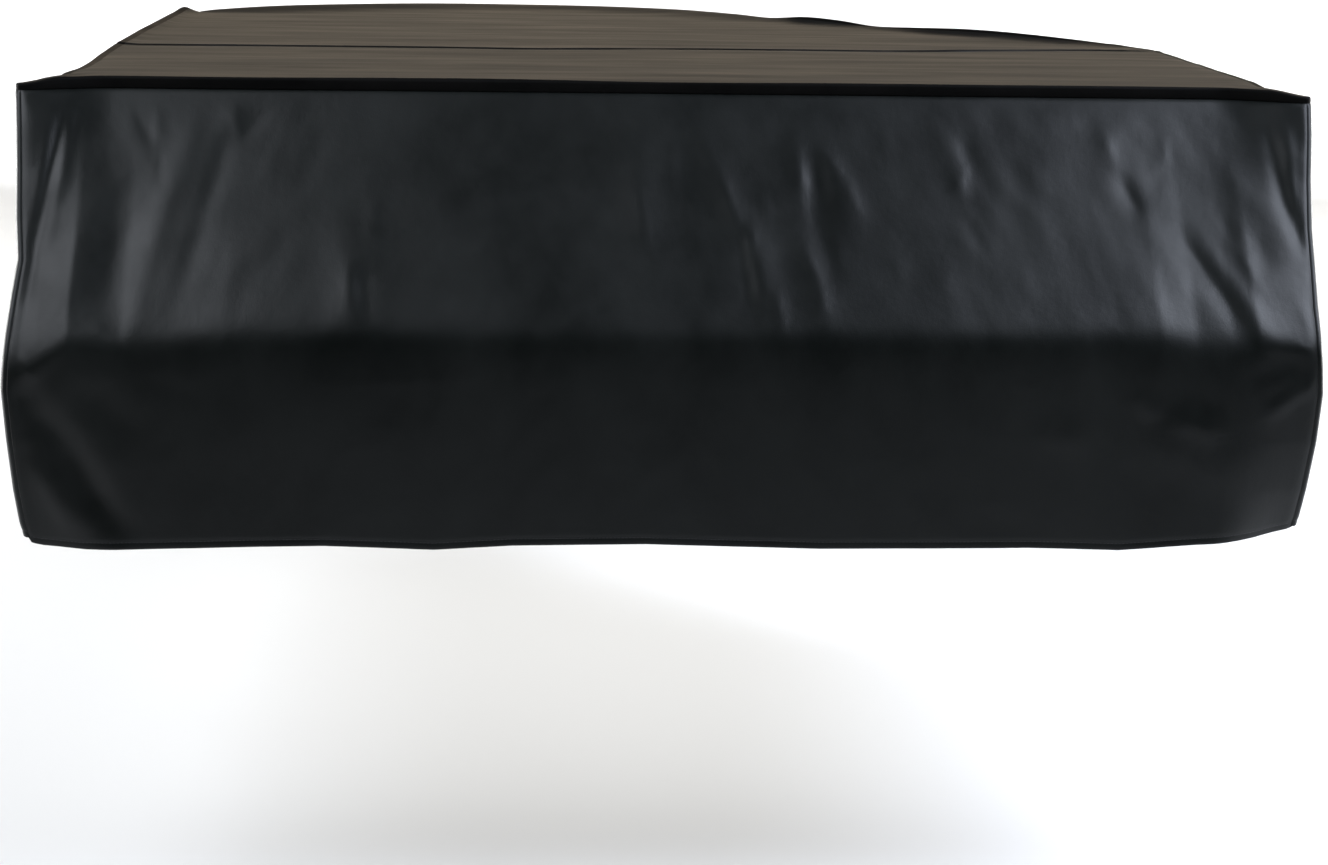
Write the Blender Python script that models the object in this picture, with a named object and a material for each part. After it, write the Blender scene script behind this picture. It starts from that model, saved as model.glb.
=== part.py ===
"""Fitted dust cover of coated cloth for a grand piano, with nothing under it.

Metres, +Z up. The origin is the mount under the middle of the top, on the lower
face of the cloth. The front, where the player sits, faces -Y. The bass side is
at -X and the treble side at +X. Plan sizes in the tables are given from the
front edge of the lid, and PLAN_SHIFT moves them to the origin.
"""

import math
from collections import namedtuple

import bmesh
import bpy
import numpy as np

# Driving sizes
PLAN_SHIFT = -0.60          # plan position of the lid's front edge
CLOTH = 0.002               # thickness of the coated cloth
HEM_CLOTH = 0.0036          # thickness where the hem is turned up
SEAM_GAP = 0.00032          # clear gap between two pieces at a seam
SEAM_DROP_SIDE = 0.0065     # seam below the crest along the sides and tail
ROLL = 0.004                # how far the skirt stands outside the crest
BAND = 0.045                # width of the margin behind the front edge
FOLD_RUN_OUT = 0.20         # share of its length that a fold runs on past its ends
FOLD_TAPER = 0.55           # share of its length over which a fold dies away
KNOB = (-0.745, 1.160)      # plan position of the knob at the bass end of the tail
KNOB_REACH = 0.075          # distance over which the margin turns round the knob
FRONT_CENTRE = (0.0, 0.275)    # middle of the front piece of the top
MAIN_CENTRE = (-0.13, 0.80)    # middle of the rear piece of the top
BREAK_Y = -0.250            # plan position where the slanted front turns upright
BREAK_SOFT = 0.010          # softness of that turn
HEM_Z = -0.5235             # mean height of the hem
HEM_Y = -0.258              # plan position of the front hem
FRONT_TOP_Z = -0.012        # height of the front seam
DROOP = 0.0065              # how far the crest droops at the front corners
CORNER_REACH = 0.115        # width over which the front bends back to a corner
FRONT_SEAM_Y = -0.006       # plan position of the front seam in the middle
FRONT_SAG = 0.007           # sag of the slanted front between lid and arms
SHEAR_BACK = 0.30           # behind this the side skirts hang straight
LIP = 0.009                 # how far a corner bulges outside its seam
LIP_DEPTH = 0.012           # depth of that bulge
SIDE_STEP = 0.066           # longest step between two stations on the sides
LIP_TURNS = (32.0, 62.0, 90.0)    # turns in degrees of the stations on a lip
HEM_LIFT = {"left": 0.005, "right": 0.013}    # rise of the hem at the corners
SIDE_HEM_WAVE = 0.004       # rise and fall of the side hems
LEFT_EDGE = -0.757          # lid's bass edge at the front
RIGHT_EDGE = 0.762          # lid's treble edge at the front

CornerRow = namedtuple("CornerRow", "z left right set_left set_right")
EdgeRow = namedtuple("EdgeRow", "name x y crest flare band")
SeamRow = namedtuple("SeamRow", "x y")
HemRow = namedtuple("HemRow", "x drop")
BreakRow = namedtuple("BreakRow", "x z")
ZoneRow = namedtuple("ZoneRow", "end count")
FoldRow = namedtuple("FoldRow", "x0 z0 x1 z1 width height")
SwayRow = namedtuple("SwayRow", "name centre width top foot")

# Outline of the cover seen from the front: height, outermost left and right,
# and how far the front corners are set back there
CORNERS = (
    CornerRow(-0.012, -0.801, 0.796, 0.036, 0.042),
    CornerRow(-0.050, -0.797, 0.792, 0.030, 0.032),
    CornerRow(-0.100, -0.793, 0.785, 0.018, 0.018),
    CornerRow(-0.155, -0.789, 0.778, 0.008, 0.008),
    CornerRow(-0.200, -0.783, 0.775, 0.003, 0.002),
    CornerRow(-0.240, -0.787, 0.771, 0.000, 0.000),
    CornerRow(-0.285, -0.790, 0.769, 0.000, 0.000),
    CornerRow(-0.340, -0.792, 0.773, 0.000, 0.004),
    CornerRow(-0.400, -0.788, 0.770, 0.003, 0.010),
    CornerRow(-0.460, -0.783, 0.765, 0.009, 0.022),
    CornerRow(-0.500, -0.778, 0.762, 0.014, 0.036),
    CornerRow(-0.530, -0.771, 0.757, 0.018, 0.046),
)

# Crest of the top edge from the treble front corner round the tail to the
# bass front corner: plan position, height, how far the hem stands out, and the
# width over which the top rises to the crest
EDGE = (
    EdgeRow("treble_front", 0.760, 0.014, -0.0045, 0.004, 0.045),
    EdgeRow("treble_arm", 0.758, 0.080, -0.0003, 0.006, 0.045),
    EdgeRow("treble_mid", 0.759, 0.300, -0.0003, 0.010, 0.045),
    EdgeRow("treble_back", 0.760, 0.500, 0.0003, 0.014, 0.045),
    EdgeRow("cross_seam_right", 0.752, 0.590, 0.0012, 0.018, 0.045),
    EdgeRow("bend", 0.704, 0.662, 0.0050, 0.022, 0.045),
    EdgeRow("bent_one", 0.597, 0.772, 0.0110, 0.020, 0.045),
    EdgeRow("bent_two", 0.520, 0.852, 0.0120, 0.014, 0.045),
    EdgeRow("bent_three", 0.445, 0.925, 0.0085, 0.010, 0.045),
    EdgeRow("waist_dip", 0.388, 0.978, 0.0062, 0.008, 0.045),
    EdgeRow("waist_rise", 0.335, 1.030, 0.0115, 0.008, 0.045),
    EdgeRow("bent_four", 0.285, 1.085, 0.0130, 0.012, 0.050),
    EdgeRow("bent_dip", 0.232, 1.138, 0.0075, 0.016, 0.080),
    EdgeRow("bent_five", 0.175, 1.195, 0.0095, 0.020, 0.120),
    EdgeRow("tail_right", 0.076, 1.284, 0.0105, 0.018, 0.130),
    EdgeRow("tail_back", -0.060, 1.347, 0.0105, 0.012, 0.130),
    EdgeRow("tail_mid", -0.205, 1.367, 0.0105, 0.010, 0.130),
    EdgeRow("tail_left", -0.335, 1.358, 0.0110, 0.014, 0.130),
    EdgeRow("tail_bend", -0.456, 1.322, 0.0110, 0.018, 0.120),
    EdgeRow("tail_side", -0.596, 1.252, 0.0105, 0.014, 0.100),
    EdgeRow("knob_foot", -0.702, 1.206, 0.0055, 0.008, 0.070),
    EdgeRow("knob_dip", -0.729, 1.187, 0.0030, 0.006, 0.050),
    EdgeRow("knob", -0.745, 1.160, 0.0125, 0.006, 0.045),
    EdgeRow("bass_back", -0.752, 1.080, 0.0090, 0.010, 0.045),
    EdgeRow("bass_three", -0.753, 0.900, 0.0080, 0.016, 0.045),
    EdgeRow("bass_two", -0.755, 0.700, 0.0060, 0.014, 0.045),
    EdgeRow("cross_seam_left", -0.755, 0.487, 0.0042, 0.012, 0.045),
    EdgeRow("bass_one", -0.753, 0.330, 0.0010, 0.012, 0.045),
    EdgeRow("bass_pinch", -0.747, 0.145, 0.0005, 0.010, 0.045),
    EdgeRow("bass_arm", -0.757, 0.070, -0.0010, 0.008, 0.045),
    EdgeRow("bass_front", -0.758, 0.014, -0.0045, 0.006, 0.045),
)

# Seam across the top, from the bass side to the treble side
CROSS_SEAM = (
    SeamRow(-0.600, 0.486),
    SeamRow(-0.300, 0.483),
    SeamRow(-0.170, 0.472),
    SeamRow(0.050, 0.502),
    SeamRow(0.330, 0.506),
    SeamRow(0.500, 0.540),
    SeamRow(0.650, 0.568),
)

# Height of the front hem below its mean height
FRONT_HEM = (
    HemRow(-0.780, -0.002),
    HemRow(-0.750, 0.004),
    HemRow(-0.700, 0.006),
    HemRow(-0.655, 0.005),
    HemRow(-0.500, 0.001),
    HemRow(-0.420, 0.000),
    HemRow(-0.290, 0.005),
    HemRow(-0.200, 0.000),
    HemRow(-0.040, -0.002),
    HemRow(0.168, 0.004),
    HemRow(0.420, 0.003),
    HemRow(0.530, 0.006),
    HemRow(0.620, -0.001),
    HemRow(0.700, -0.005),
    HemRow(0.770, -0.013),
)

# Height along the width where the slanted front turns upright
BREAK_LINE = (
    BreakRow(-0.780, -0.312),
    BreakRow(-0.750, -0.303),
    BreakRow(-0.714, -0.284),
    BreakRow(-0.653, -0.293),
    BreakRow(-0.608, -0.287),
    BreakRow(-0.531, -0.280),
    BreakRow(-0.401, -0.276),
    BreakRow(0.232, -0.275),
    BreakRow(0.573, -0.274),
    BreakRow(0.617, -0.284),
    BreakRow(0.661, -0.282),
    BreakRow(0.689, -0.276),
    BreakRow(0.765, -0.285),
)

# Folds of the front skirt seen from the front: both ends, width and height,
# where a ridge stands out and a trough lies in
FRONT_FOLDS = (
    FoldRow(-0.747, -0.030, -0.769, -0.160, 0.0080, 0.0022),
    FoldRow(-0.741, -0.040, -0.760, -0.170, 0.0085, -0.0040),
    FoldRow(-0.756, -0.140, -0.768, -0.260, 0.0100, -0.0050),
    FoldRow(-0.733, -0.020, -0.739, -0.130, 0.0085, 0.0027),
    FoldRow(-0.737, -0.105, -0.758, -0.225, 0.0085, 0.0024),
    FoldRow(-0.690, -0.110, -0.722, -0.220, 0.0220, 0.0035),
    FoldRow(-0.715, -0.195, -0.750, -0.310, 0.0240, 0.0042),
    FoldRow(-0.662, -0.110, -0.669, -0.280, 0.0190, -0.0036),
    FoldRow(-0.580, -0.045, -0.616, -0.150, 0.0190, 0.0036),
    FoldRow(-0.608, -0.125, -0.649, -0.300, 0.0160, 0.0042),
    FoldRow(-0.541, -0.055, -0.563, -0.145, 0.0110, -0.0028),
    FoldRow(-0.558, -0.122, -0.586, -0.228, 0.0125, -0.0026),
    FoldRow(-0.492, -0.028, -0.538, -0.080, 0.0100, -0.0022),
    FoldRow(-0.668, -0.034, -0.640, -0.100, 0.0110, 0.0016),
    FoldRow(-0.776, -0.333, -0.712, -0.280, 0.0140, 0.0052),
    FoldRow(-0.718, -0.274, -0.648, -0.292, 0.0150, 0.0032),
    FoldRow(-0.775, -0.325, -0.734, -0.400, 0.0200, -0.0045),
    FoldRow(-0.740, -0.382, -0.667, -0.508, 0.0240, -0.0050),
    FoldRow(-0.700, -0.330, -0.640, -0.395, 0.0280, -0.0025),
    FoldRow(-0.758, -0.425, -0.720, -0.505, 0.0160, 0.0032),
    FoldRow(-0.396, -0.150, -0.384, -0.280, 0.0300, 0.0023),
    FoldRow(-0.051, -0.065, -0.039, -0.185, 0.0240, 0.0023),
    FoldRow(0.042, -0.080, 0.078, -0.170, 0.0170, 0.0024),
    FoldRow(0.086, -0.145, 0.117, -0.275, 0.0180, 0.0027),
    FoldRow(0.148, -0.050, 0.153, -0.126, 0.0140, 0.0019),
    FoldRow(0.176, -0.070, 0.170, -0.205, 0.0150, -0.0023),
    FoldRow(0.170, -0.060, 0.223, -0.160, 0.0170, 0.0024),
    FoldRow(0.152, -0.175, 0.174, -0.268, 0.0180, 0.0022),
    FoldRow(0.534, -0.040, 0.538, -0.125, 0.0180, 0.0020),
    FoldRow(0.563, -0.050, 0.590, -0.088, 0.0130, -0.0016),
    FoldRow(0.549, -0.095, 0.565, -0.150, 0.0140, -0.0019),
    FoldRow(0.592, -0.110, 0.611, -0.163, 0.0160, 0.0019),
    FoldRow(0.738, -0.030, 0.745, -0.135, 0.0100, -0.0039),
    FoldRow(0.743, -0.112, 0.766, -0.185, 0.0110, -0.0044),
    FoldRow(0.758, -0.025, 0.760, -0.160, 0.0085, 0.0023),
    FoldRow(0.694, -0.100, 0.757, -0.190, 0.0150, 0.0020),
    FoldRow(0.615, -0.162, 0.681, -0.278, 0.0150, -0.0041),
    FoldRow(0.634, -0.168, 0.696, -0.275, 0.0150, 0.0033),
    FoldRow(0.700, -0.160, 0.713, -0.205, 0.0130, -0.0018),
    FoldRow(0.686, -0.267, 0.756, -0.293, 0.0140, 0.0035),
    FoldRow(0.745, -0.286, 0.680, -0.332, 0.0200, -0.0031),
    FoldRow(0.572, -0.382, 0.676, -0.446, 0.0340, 0.0024),
)

# Soft upright folds of the bass skirt, by plan distance from the front edge
BASS_SWAYS = (
    SwayRow("arm", 0.020, 0.060, 0.000, 0.008),
    SwayRow("arm_back", 0.160, 0.055, 0.001, -0.009),
    SwayRow("fore", 0.330, 0.070, 0.001, 0.011),
    SwayRow("mid", 0.520, 0.060, 0.000, -0.008),
    SwayRow("aft", 0.720, 0.075, 0.001, 0.012),
    SwayRow("rear", 0.930, 0.060, 0.000, -0.009),
)

# Soft upright folds of the treble, bent and tail skirts, by distance along
# the edge from the treble front corner
BENT_SWAYS = (
    SwayRow("arm", 0.130, 0.060, 0.001, -0.009),
    SwayRow("treble", 0.320, 0.065, 0.001, 0.011),
    SwayRow("treble_back", 0.500, 0.055, 0.000, -0.008),
    SwayRow("bend", 0.720, 0.070, 0.002, 0.014),
    SwayRow("bent_one", 0.900, 0.055, 0.000, -0.010),
    SwayRow("waist", 1.110, 0.070, 0.001, 0.012),
    SwayRow("bent_two", 1.300, 0.060, 0.000, -0.010),
    SwayRow("tail_right", 1.520, 0.075, 0.002, 0.014),
    SwayRow("tail_back", 1.740, 0.060, 0.000, -0.010),
    SwayRow("tail_mid", 1.950, 0.070, 0.001, 0.012),
    SwayRow("tail_left", 2.150, 0.060, 0.000, -0.010),
    SwayRow("tail_side", 2.330, 0.055, 0.001, 0.009),
)

# Share of the drop from seam to hem at each row of the front skirt, and the
# numbers of the rows that the side skirts keep
ROW_SHARES = (0.0, 0.02, 0.05, 0.09, 0.13, 0.17, 0.21, 0.25, 0.29, 0.33, 0.37, 0.41,
              0.445, 0.475, 0.50, 0.525, 0.56, 0.61, 0.67, 0.74, 0.81, 0.88, 0.925,
              0.979, 0.985, 1.0)
SIDE_ROWS = (0, 2, 4, 7, 10, 13, 15, 17, 19, 21, 23, 24, 25)
HEM_SHARE = 0.982           # share of the drop where the turned hem begins

# Cross section of the top's margin: share of the way inward and of the rise
MARGIN = ((0.0, 1.0), (0.16, 0.80), (0.42, 0.28), (0.70, 0.04), (1.0, 0.0))

# Zones of the front skirt from bass to treble, from -1 at one corner to 1 at
# the other: where each ends, and its number of stations
FRONT_ZONES = (
    ZoneRow(-0.86, 13),
    ZoneRow(-0.60, 12),
    ZoneRow(0.02, 12),
    ZoneRow(0.32, 12),
    ZoneRow(0.66, 8),
    ZoneRow(0.90, 9),
    ZoneRow(1.00, 8),
)


def smooth(value):
    """Ease a share between 0 and 1."""
    share = min(1.0, max(0.0, value))
    return share * share * (3.0 - 2.0 * share)


def table_value(rows, key, field, at):
    """Read a column of a table between its rows, eased along them."""
    keys = [getattr(row, key) for row in rows]
    values = [getattr(row, field) for row in rows]
    if keys[0] > keys[-1]:
        keys.reverse()
        values.reverse()
    return float(np.interp(at, keys, values))


def curve_through(points, step):
    """Lay a smooth curve through points, each span cut into short steps."""
    last = len(points) - 1
    out = []
    rows = []
    for i in range(last):
        before = points[max(0, i - 1)]
        start = points[i]
        end = points[i + 1]
        after = points[min(last, i + 2)]
        span = float(np.linalg.norm((end - start)[:2]))
        cuts = max(1, int(math.ceil(span / step - 0.15)))
        rows.append(len(out))
        for c in range(cuts):
            t = c / cuts
            bend = (2.0 * start + (end - before) * t
                    + (2.0 * before - 5.0 * start + 4.0 * end - after) * t * t
                    + (3.0 * start - before - 3.0 * end + after) * t * t * t)
            out.append(0.5 * bend)
    rows.append(len(out))
    out.append(points[last])
    return out, rows


def front_y(x, z):
    """Plan position of the front skirt, before its folds."""
    left = table_value(CORNERS, "z", "left", z)
    right = table_value(CORNERS, "z", "right", z)
    near_left = smooth(1.0 - (x - left) / CORNER_REACH)
    near_right = smooth(1.0 - (right - x) / CORNER_REACH)
    turn_z = table_value(BREAK_LINE, "x", "z", x)
    share = (FRONT_TOP_Z - z) / (FRONT_TOP_Z - turn_z)
    slant = FRONT_SEAM_Y + (BREAK_Y - 0.004 - FRONT_SEAM_Y) * share
    across = max(0.0, 1.0 - (x / 0.74) ** 2)
    slant += FRONT_SAG * across * math.sin(math.pi * min(1.0, max(0.0, share)))
    upright = BREAK_Y + (HEM_Y - BREAK_Y) * (z - turn_z) / (HEM_Z - turn_z)
    gap = slant - upright
    line = 0.5 * (slant + upright + math.hypot(gap, 2.0 * BREAK_SOFT))
    set_left = table_value(CORNERS, "z", "set_left", z)
    set_right = table_value(CORNERS, "z", "set_right", z)
    way = 1.0 if z < turn_z else -1.0
    return line + way * (near_left * set_left + near_right * set_right)


def fold_height(x, z):
    """Sum of the front skirt's folds at one place."""
    total = 0.0
    for fold in FRONT_FOLDS:
        run_x = fold.x1 - fold.x0
        run_z = fold.z1 - fold.z0
        length = math.hypot(run_x, run_z)
        along = ((x - fold.x0) * run_x + (z - fold.z0) * run_z) / (length * length)
        off = ((x - fold.x0) * run_z - (z - fold.z0) * run_x) / length
        if abs(off) > 3.0 * fold.width:
            continue
        taper = smooth((along + FOLD_RUN_OUT) / FOLD_TAPER)
        taper *= smooth((1.0 + FOLD_RUN_OUT - along) / FOLD_TAPER)
        total += fold.height * taper * math.exp(-(off / fold.width) ** 2)
    return total


def sway(rows, place, share):
    """Outward swing of a side skirt at one place and share of its drop."""
    total = 0.0
    for row in rows:
        bump = math.exp(-((place - row.centre) / row.width) ** 2)
        total += bump * (row.top + (row.foot - row.top) * share ** 1.25)
    return total


class Station:
    """One upright line of the skirt, from the crest down to the hem."""

    def __init__(self, kind, x, y, crest, out_x, out_y, flare, place, band=BAND):
        self.kind = kind
        self.x = x
        self.y = y
        self.crest = crest
        self.out = (out_x, out_y)
        self.flare = flare
        self.place = place
        self.band = band
        self.share = 0.0
        self.turn = 0.0


def corner_x(side, z):
    """Outermost position of a front corner at one height."""
    return table_value(CORNERS, "z", side, z)


def seam_x(side, z):
    """Position of the upright corner seam at one height."""
    inward = LIP if side == "left" else -LIP
    return corner_x(side, z) + inward


def front_point(share, z):
    """Point of the front skirt at one share of its width and one height."""
    left = seam_x("left", z)
    right = seam_x("right", z)
    x = left + (right - left) * share
    y = front_y(x, z)
    fade = smooth((FRONT_TOP_Z - z) / 0.05)
    edge = smooth((x - left) / 0.012) * smooth((right - x) / 0.012)
    height = fold_height(x, z) * fade * edge
    lean = smooth((z - table_value(BREAK_LINE, "x", "z", x)) / 0.05)
    out_y = -(1.0 - 0.27 * lean)
    out_z = 0.66 * lean
    return np.array((x, y + out_y * height, z + out_z * height))


def corner_point(side, turn, z):
    """Point of the rounded lip outside a corner seam."""
    sign = -1.0 if side == "left" else 1.0
    x = seam_x(side, z) + sign * LIP * math.sin(turn)
    y = front_y(seam_x(side, z), z) + LIP_DEPTH * (1.0 - math.cos(turn))
    return np.array((x, y, z))


def side_point(station, z, seam_z, hem_z, rows):
    """Point of a side, bent or tail skirt on one station at one height."""
    share = min(1.0, max(0.0, (seam_z - z) / (seam_z - hem_z)))
    reach = ROLL + station.flare * share ** 1.2
    reach += sway(rows, station.place, share)
    side = "left" if station.x < 0.0 else "right"
    x = station.x + station.out[0] * reach
    y = station.y + station.out[1] * reach
    if station.y < SHEAR_BACK:
        start = front_y(seam_x(side, z), z) + LIP_DEPTH
        start_top = front_y(seam_x(side, seam_z), seam_z) + LIP_DEPTH
        part = (station.y - start_top) / (SHEAR_BACK - start_top)
        y = start + (SHEAR_BACK - start) * part
        blend = 1.0 - smooth(part / (0.20 + 0.55 * smooth(share / 0.35)))
        x = x * (1.0 - blend) + corner_x(side, z) * blend
    return np.array((x, y, z))


def front_shares():
    """Shares of the front width where its stations stand."""
    start = -1.0
    out = []
    for zone in FRONT_ZONES:
        for c in range(zone.count):
            place = start + (zone.end - start) * c / zone.count
            out.append(0.5 + 0.5 * place)
        start = zone.end
    out.append(1.0)
    return out


def side_stations():
    """Stations from the treble front corner round the tail to the bass one."""
    points = [np.array(row[1:]) for row in EDGE]
    line, marks = curve_through(points, SIDE_STEP)
    length = 0.0
    out = []
    for i, point in enumerate(line):
        before = line[max(0, i - 1)]
        after = line[min(len(line) - 1, i + 1)]
        tangent = (after - before)[:2]
        tangent = tangent / np.linalg.norm(tangent)
        if i:
            length += float(np.linalg.norm((point - before)[:2]))
        station = Station("side", point[0], point[1], point[2], tangent[1],
                          -tangent[0], point[3], length, point[4])
        out.append(station)
    names = {row.name: mark for row, mark in zip(EDGE, marks)}
    return out, names


class Cloth:
    """The whole cover as one sheet of points, cut into its pieces at the end."""

    def __init__(self):
        self.points = []
        self.thick = []
        self.faces = {}

    def add(self, point, thick=CLOTH):
        """Keep one point and give its number."""
        self.points.append(np.array(point, dtype=float))
        self.thick.append(thick)
        return len(self.points) - 1

    def quad(self, piece, a, b, c, d):
        """Keep one four sided face of a piece."""
        self.faces.setdefault(piece, []).append((a, b, c, d))

    def tri(self, piece, a, b, c):
        """Keep one three sided face of a piece."""
        self.faces.setdefault(piece, []).append((a, b, c))

    def normals(self):
        """Outward direction at every point, from all the faces round it."""
        total = np.zeros((len(self.points), 3))
        for faces in self.faces.values():
            for face in faces:
                for i, corner in enumerate(face):
                    here = self.points[corner]
                    ahead = self.points[face[(i + 1) % len(face)]] - here
                    behind = self.points[face[i - 1]] - here
                    cross = np.cross(ahead, behind)
                    size = np.linalg.norm(cross)
                    if size < 1e-14:
                        continue
                    cosine = ahead @ behind / (np.linalg.norm(ahead) * np.linalg.norm(behind))
                    angle = math.acos(min(1.0, max(-1.0, cosine)))
                    total[corner] += cross / size * angle
        return total / np.linalg.norm(total, axis=1)[:, None]


def crease(points, pair):
    """How sharply two three sided faces meet, from 0 where they are flat."""
    normals = []
    for a, b, c in pair:
        cross = np.cross(points[b] - points[a], points[c] - points[a])
        normals.append(cross / np.linalg.norm(cross))
    return 1.0 - normals[0] @ normals[1]


def triangles(points, face):
    """Cut a four sided face along the diagonal that leaves it flatter."""
    if len(face) == 3:
        return (face,)
    a, b, c, d = face
    down = ((a, b, c), (a, c, d))
    up = ((a, b, d), (b, c, d))
    if crease(points, up) < crease(points, down) - 1e-9:
        return up
    return down


def directed_edges(faces):
    """Every edge of the faces with the face that holds it."""
    out = {}
    for index, face in enumerate(faces):
        for i, a in enumerate(face):
            out[(a, face[(i + 1) % len(face)])] = index
    return out


def seam_shifts(cloth, piece, normals):
    """How far each border point of a piece moves in from its seams."""
    own = directed_edges(cloth.faces[piece])
    shared = set()
    for name, faces in cloth.faces.items():
        if name != piece:
            shared.update(directed_edges(faces))
    pushes = {}
    for (a, b), index in own.items():
        if (b, a) in own or (b, a) not in shared:
            continue
        along = cloth.points[b] - cloth.points[a]
        along = along / np.linalg.norm(along)
        inward = np.cross(normals[a] + normals[b], along)
        inward = inward - along * (inward @ along)
        inward = inward / np.linalg.norm(inward)
        pushes.setdefault(a, []).append(inward)
        pushes.setdefault(b, []).append(inward)
    shifts = {}
    for point, ways in pushes.items():
        first = ways[0]
        second = ways[-1]
        mitre = (first + second) / (1.0 + first @ second)
        shifts[point] = mitre * SEAM_GAP * 0.5
    return shifts


def make_material(name, colour, roughness):
    """A plain material for one piece."""
    material = bpy.data.materials.new(name)
    material.use_nodes = True
    shader = material.node_tree.nodes["Principled BSDF"]
    shader.inputs["Base Color"].default_value = (*colour, 1.0)
    shader.inputs["Roughness"].default_value = roughness
    return material


def build_piece(cloth, piece, normals, material):
    """Close one piece of the sheet into a thin solid body."""
    faces = cloth.faces[piece]
    shifts = seam_shifts(cloth, piece, normals)
    used = sorted({corner for face in faces for corner in face})
    mesh = bmesh.new()
    outer = {}
    inner = {}
    for corner in used:
        move = shifts.get(corner, np.zeros(3))
        top = cloth.points[corner] + move
        low = top - normals[corner] * cloth.thick[corner]
        outer[corner] = mesh.verts.new(top + np.array((0.0, PLAN_SHIFT, 0.0)))
        inner[corner] = mesh.verts.new(low + np.array((0.0, PLAN_SHIFT, 0.0)))
    for face in faces:
        for trio in triangles(cloth.points, face):
            mesh.faces.new([outer[i] for i in trio])
            mesh.faces.new([inner[i] for i in reversed(trio)])
    own = directed_edges(faces)
    for a, b in own:
        if (b, a) in own:
            continue
        mesh.faces.new((outer[b], outer[a], inner[a]))
        mesh.faces.new((outer[b], inner[a], inner[b]))
    bmesh.ops.recalc_face_normals(mesh, faces=mesh.faces)
    data = bpy.data.meshes.new(piece)
    mesh.to_mesh(data)
    mesh.free()
    data.materials.append(material)
    body = bpy.data.objects.new(piece, data)
    bpy.context.collection.objects.link(body)
    return body


def ring_of_stations():
    """All the stations in order, with the numbers where the pieces change."""
    ring = []
    for share in front_shares():
        station = Station("front", 0.0, 0.0, 0.0, 0.0, -1.0, 0.0, 0.0)
        station.share = share
        ring.append(station)
    right_seam = len(ring) - 1
    for turn in LIP_TURNS:
        station = Station("right", 0.0, 0.0, 0.0, 1.0, 0.0, 0.0, 0.0)
        station.turn = math.radians(turn)
        ring.append(station)
    sides, names = side_stations()
    first = len(ring)
    ring.extend(sides)
    for turn in reversed(LIP_TURNS):
        station = Station("left", 0.0, 0.0, 0.0, -1.0, 0.0, 0.0, 0.0)
        station.turn = math.radians(turn)
        ring.append(station)
    marks = {name: first + number for name, number in names.items()}
    marks["right_seam"] = right_seam
    return ring, marks


def skirt_point(station, share):
    """Point on any station at one share of its drop from seam to hem."""
    if station.kind == "front":
        flat_x = seam_x("left", HEM_Z)
        flat_x += (seam_x("right", HEM_Z) - flat_x) * station.share
        hem = HEM_Z - table_value(FRONT_HEM, "x", "drop", flat_x)
        z = FRONT_TOP_Z + (hem - FRONT_TOP_Z) * share
        return front_point(station.share, z)
    if station.kind in ("left", "right"):
        hem = HEM_Z + HEM_LIFT[station.kind]
        z = FRONT_TOP_Z + (hem - FRONT_TOP_Z) * share
        return corner_point(station.kind, station.turn, z)
    rows = BASS_SWAYS if station.kind == "bass" else BENT_SWAYS
    side = "left" if station.kind == "bass" else "right"
    near = smooth(1.0 - (station.y - 0.02) / 0.10)
    seam_z = station.crest - SEAM_DROP_SIDE
    seam_z = seam_z * (1.0 - near) + FRONT_TOP_Z * near
    lift = HEM_LIFT["left"] * (1.0 - near) + HEM_LIFT[side] * near
    wave = SIDE_HEM_WAVE * math.sin(7.0 * station.place) * (1.0 - near)
    hem = HEM_Z + lift + wave
    z = seam_z + (hem - seam_z) * share
    return side_point(station, z, seam_z, hem, rows)


def crest_point(station, seam):
    """Crest above one seam point, and its height over the flat top."""
    if station.kind == "front":
        near = abs(2.0 * station.share - 1.0)
        droop = smooth((near - 0.94) / 0.06)
        height = CLOTH - DROOP * droop
        return np.array((seam[0], seam[1] + ROLL, height))
    if station.kind in ("left", "right"):
        sign = 1.0 if station.kind == "left" else -1.0
        inward = np.array((sign * math.sin(station.turn), math.cos(station.turn)))
        move = inward * ROLL
        return np.array((seam[0] + move[0], seam[1] + move[1], CLOTH - DROOP))
    x = seam[0] - station.out[0] * ROLL
    y = seam[1] - station.out[1] * ROLL
    return np.array((x, y, station.crest))


def inner_point(station, crest):
    """Where the margin ends and the flat top begins behind one crest point."""
    corner_y = BAND
    left = LEFT_EDGE + BAND
    right = RIGHT_EDGE - BAND
    if station.kind == "front":
        x = left + 0.004 + (right - left - 0.008) * station.share
        return np.array((x, corner_y, CLOTH))
    if station.kind == "left":
        part = station.turn / math.radians(90.0)
        x = left + 0.004 - 0.003 * part
        return np.array((x, corner_y + 0.002 + 0.006 * part, CLOTH))
    if station.kind == "right":
        part = station.turn / math.radians(90.0)
        x = right - 0.004 + 0.003 * part
        return np.array((x, corner_y + 0.002 + 0.006 * part, CLOTH))
    here = np.array((station.x, station.y))
    to_centre = np.array(MAIN_CENTRE) - here
    to_centre = to_centre / np.linalg.norm(to_centre)
    gap = np.linalg.norm(here - np.array(KNOB))
    turned = math.exp(-(gap / KNOB_REACH) ** 2)
    way = to_centre * turned - np.array(station.out) * (1.0 - turned)
    way = way / np.linalg.norm(way)
    x = crest[0] + way[0] * station.band
    y = crest[1] + way[1] * station.band
    if station.y < 0.10:
        x = left if station.x < 0.0 else right
        y = corner_y + 0.012 + 0.45 * max(0.0, station.y - 0.005)
    return np.array((x, y, CLOTH))


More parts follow.
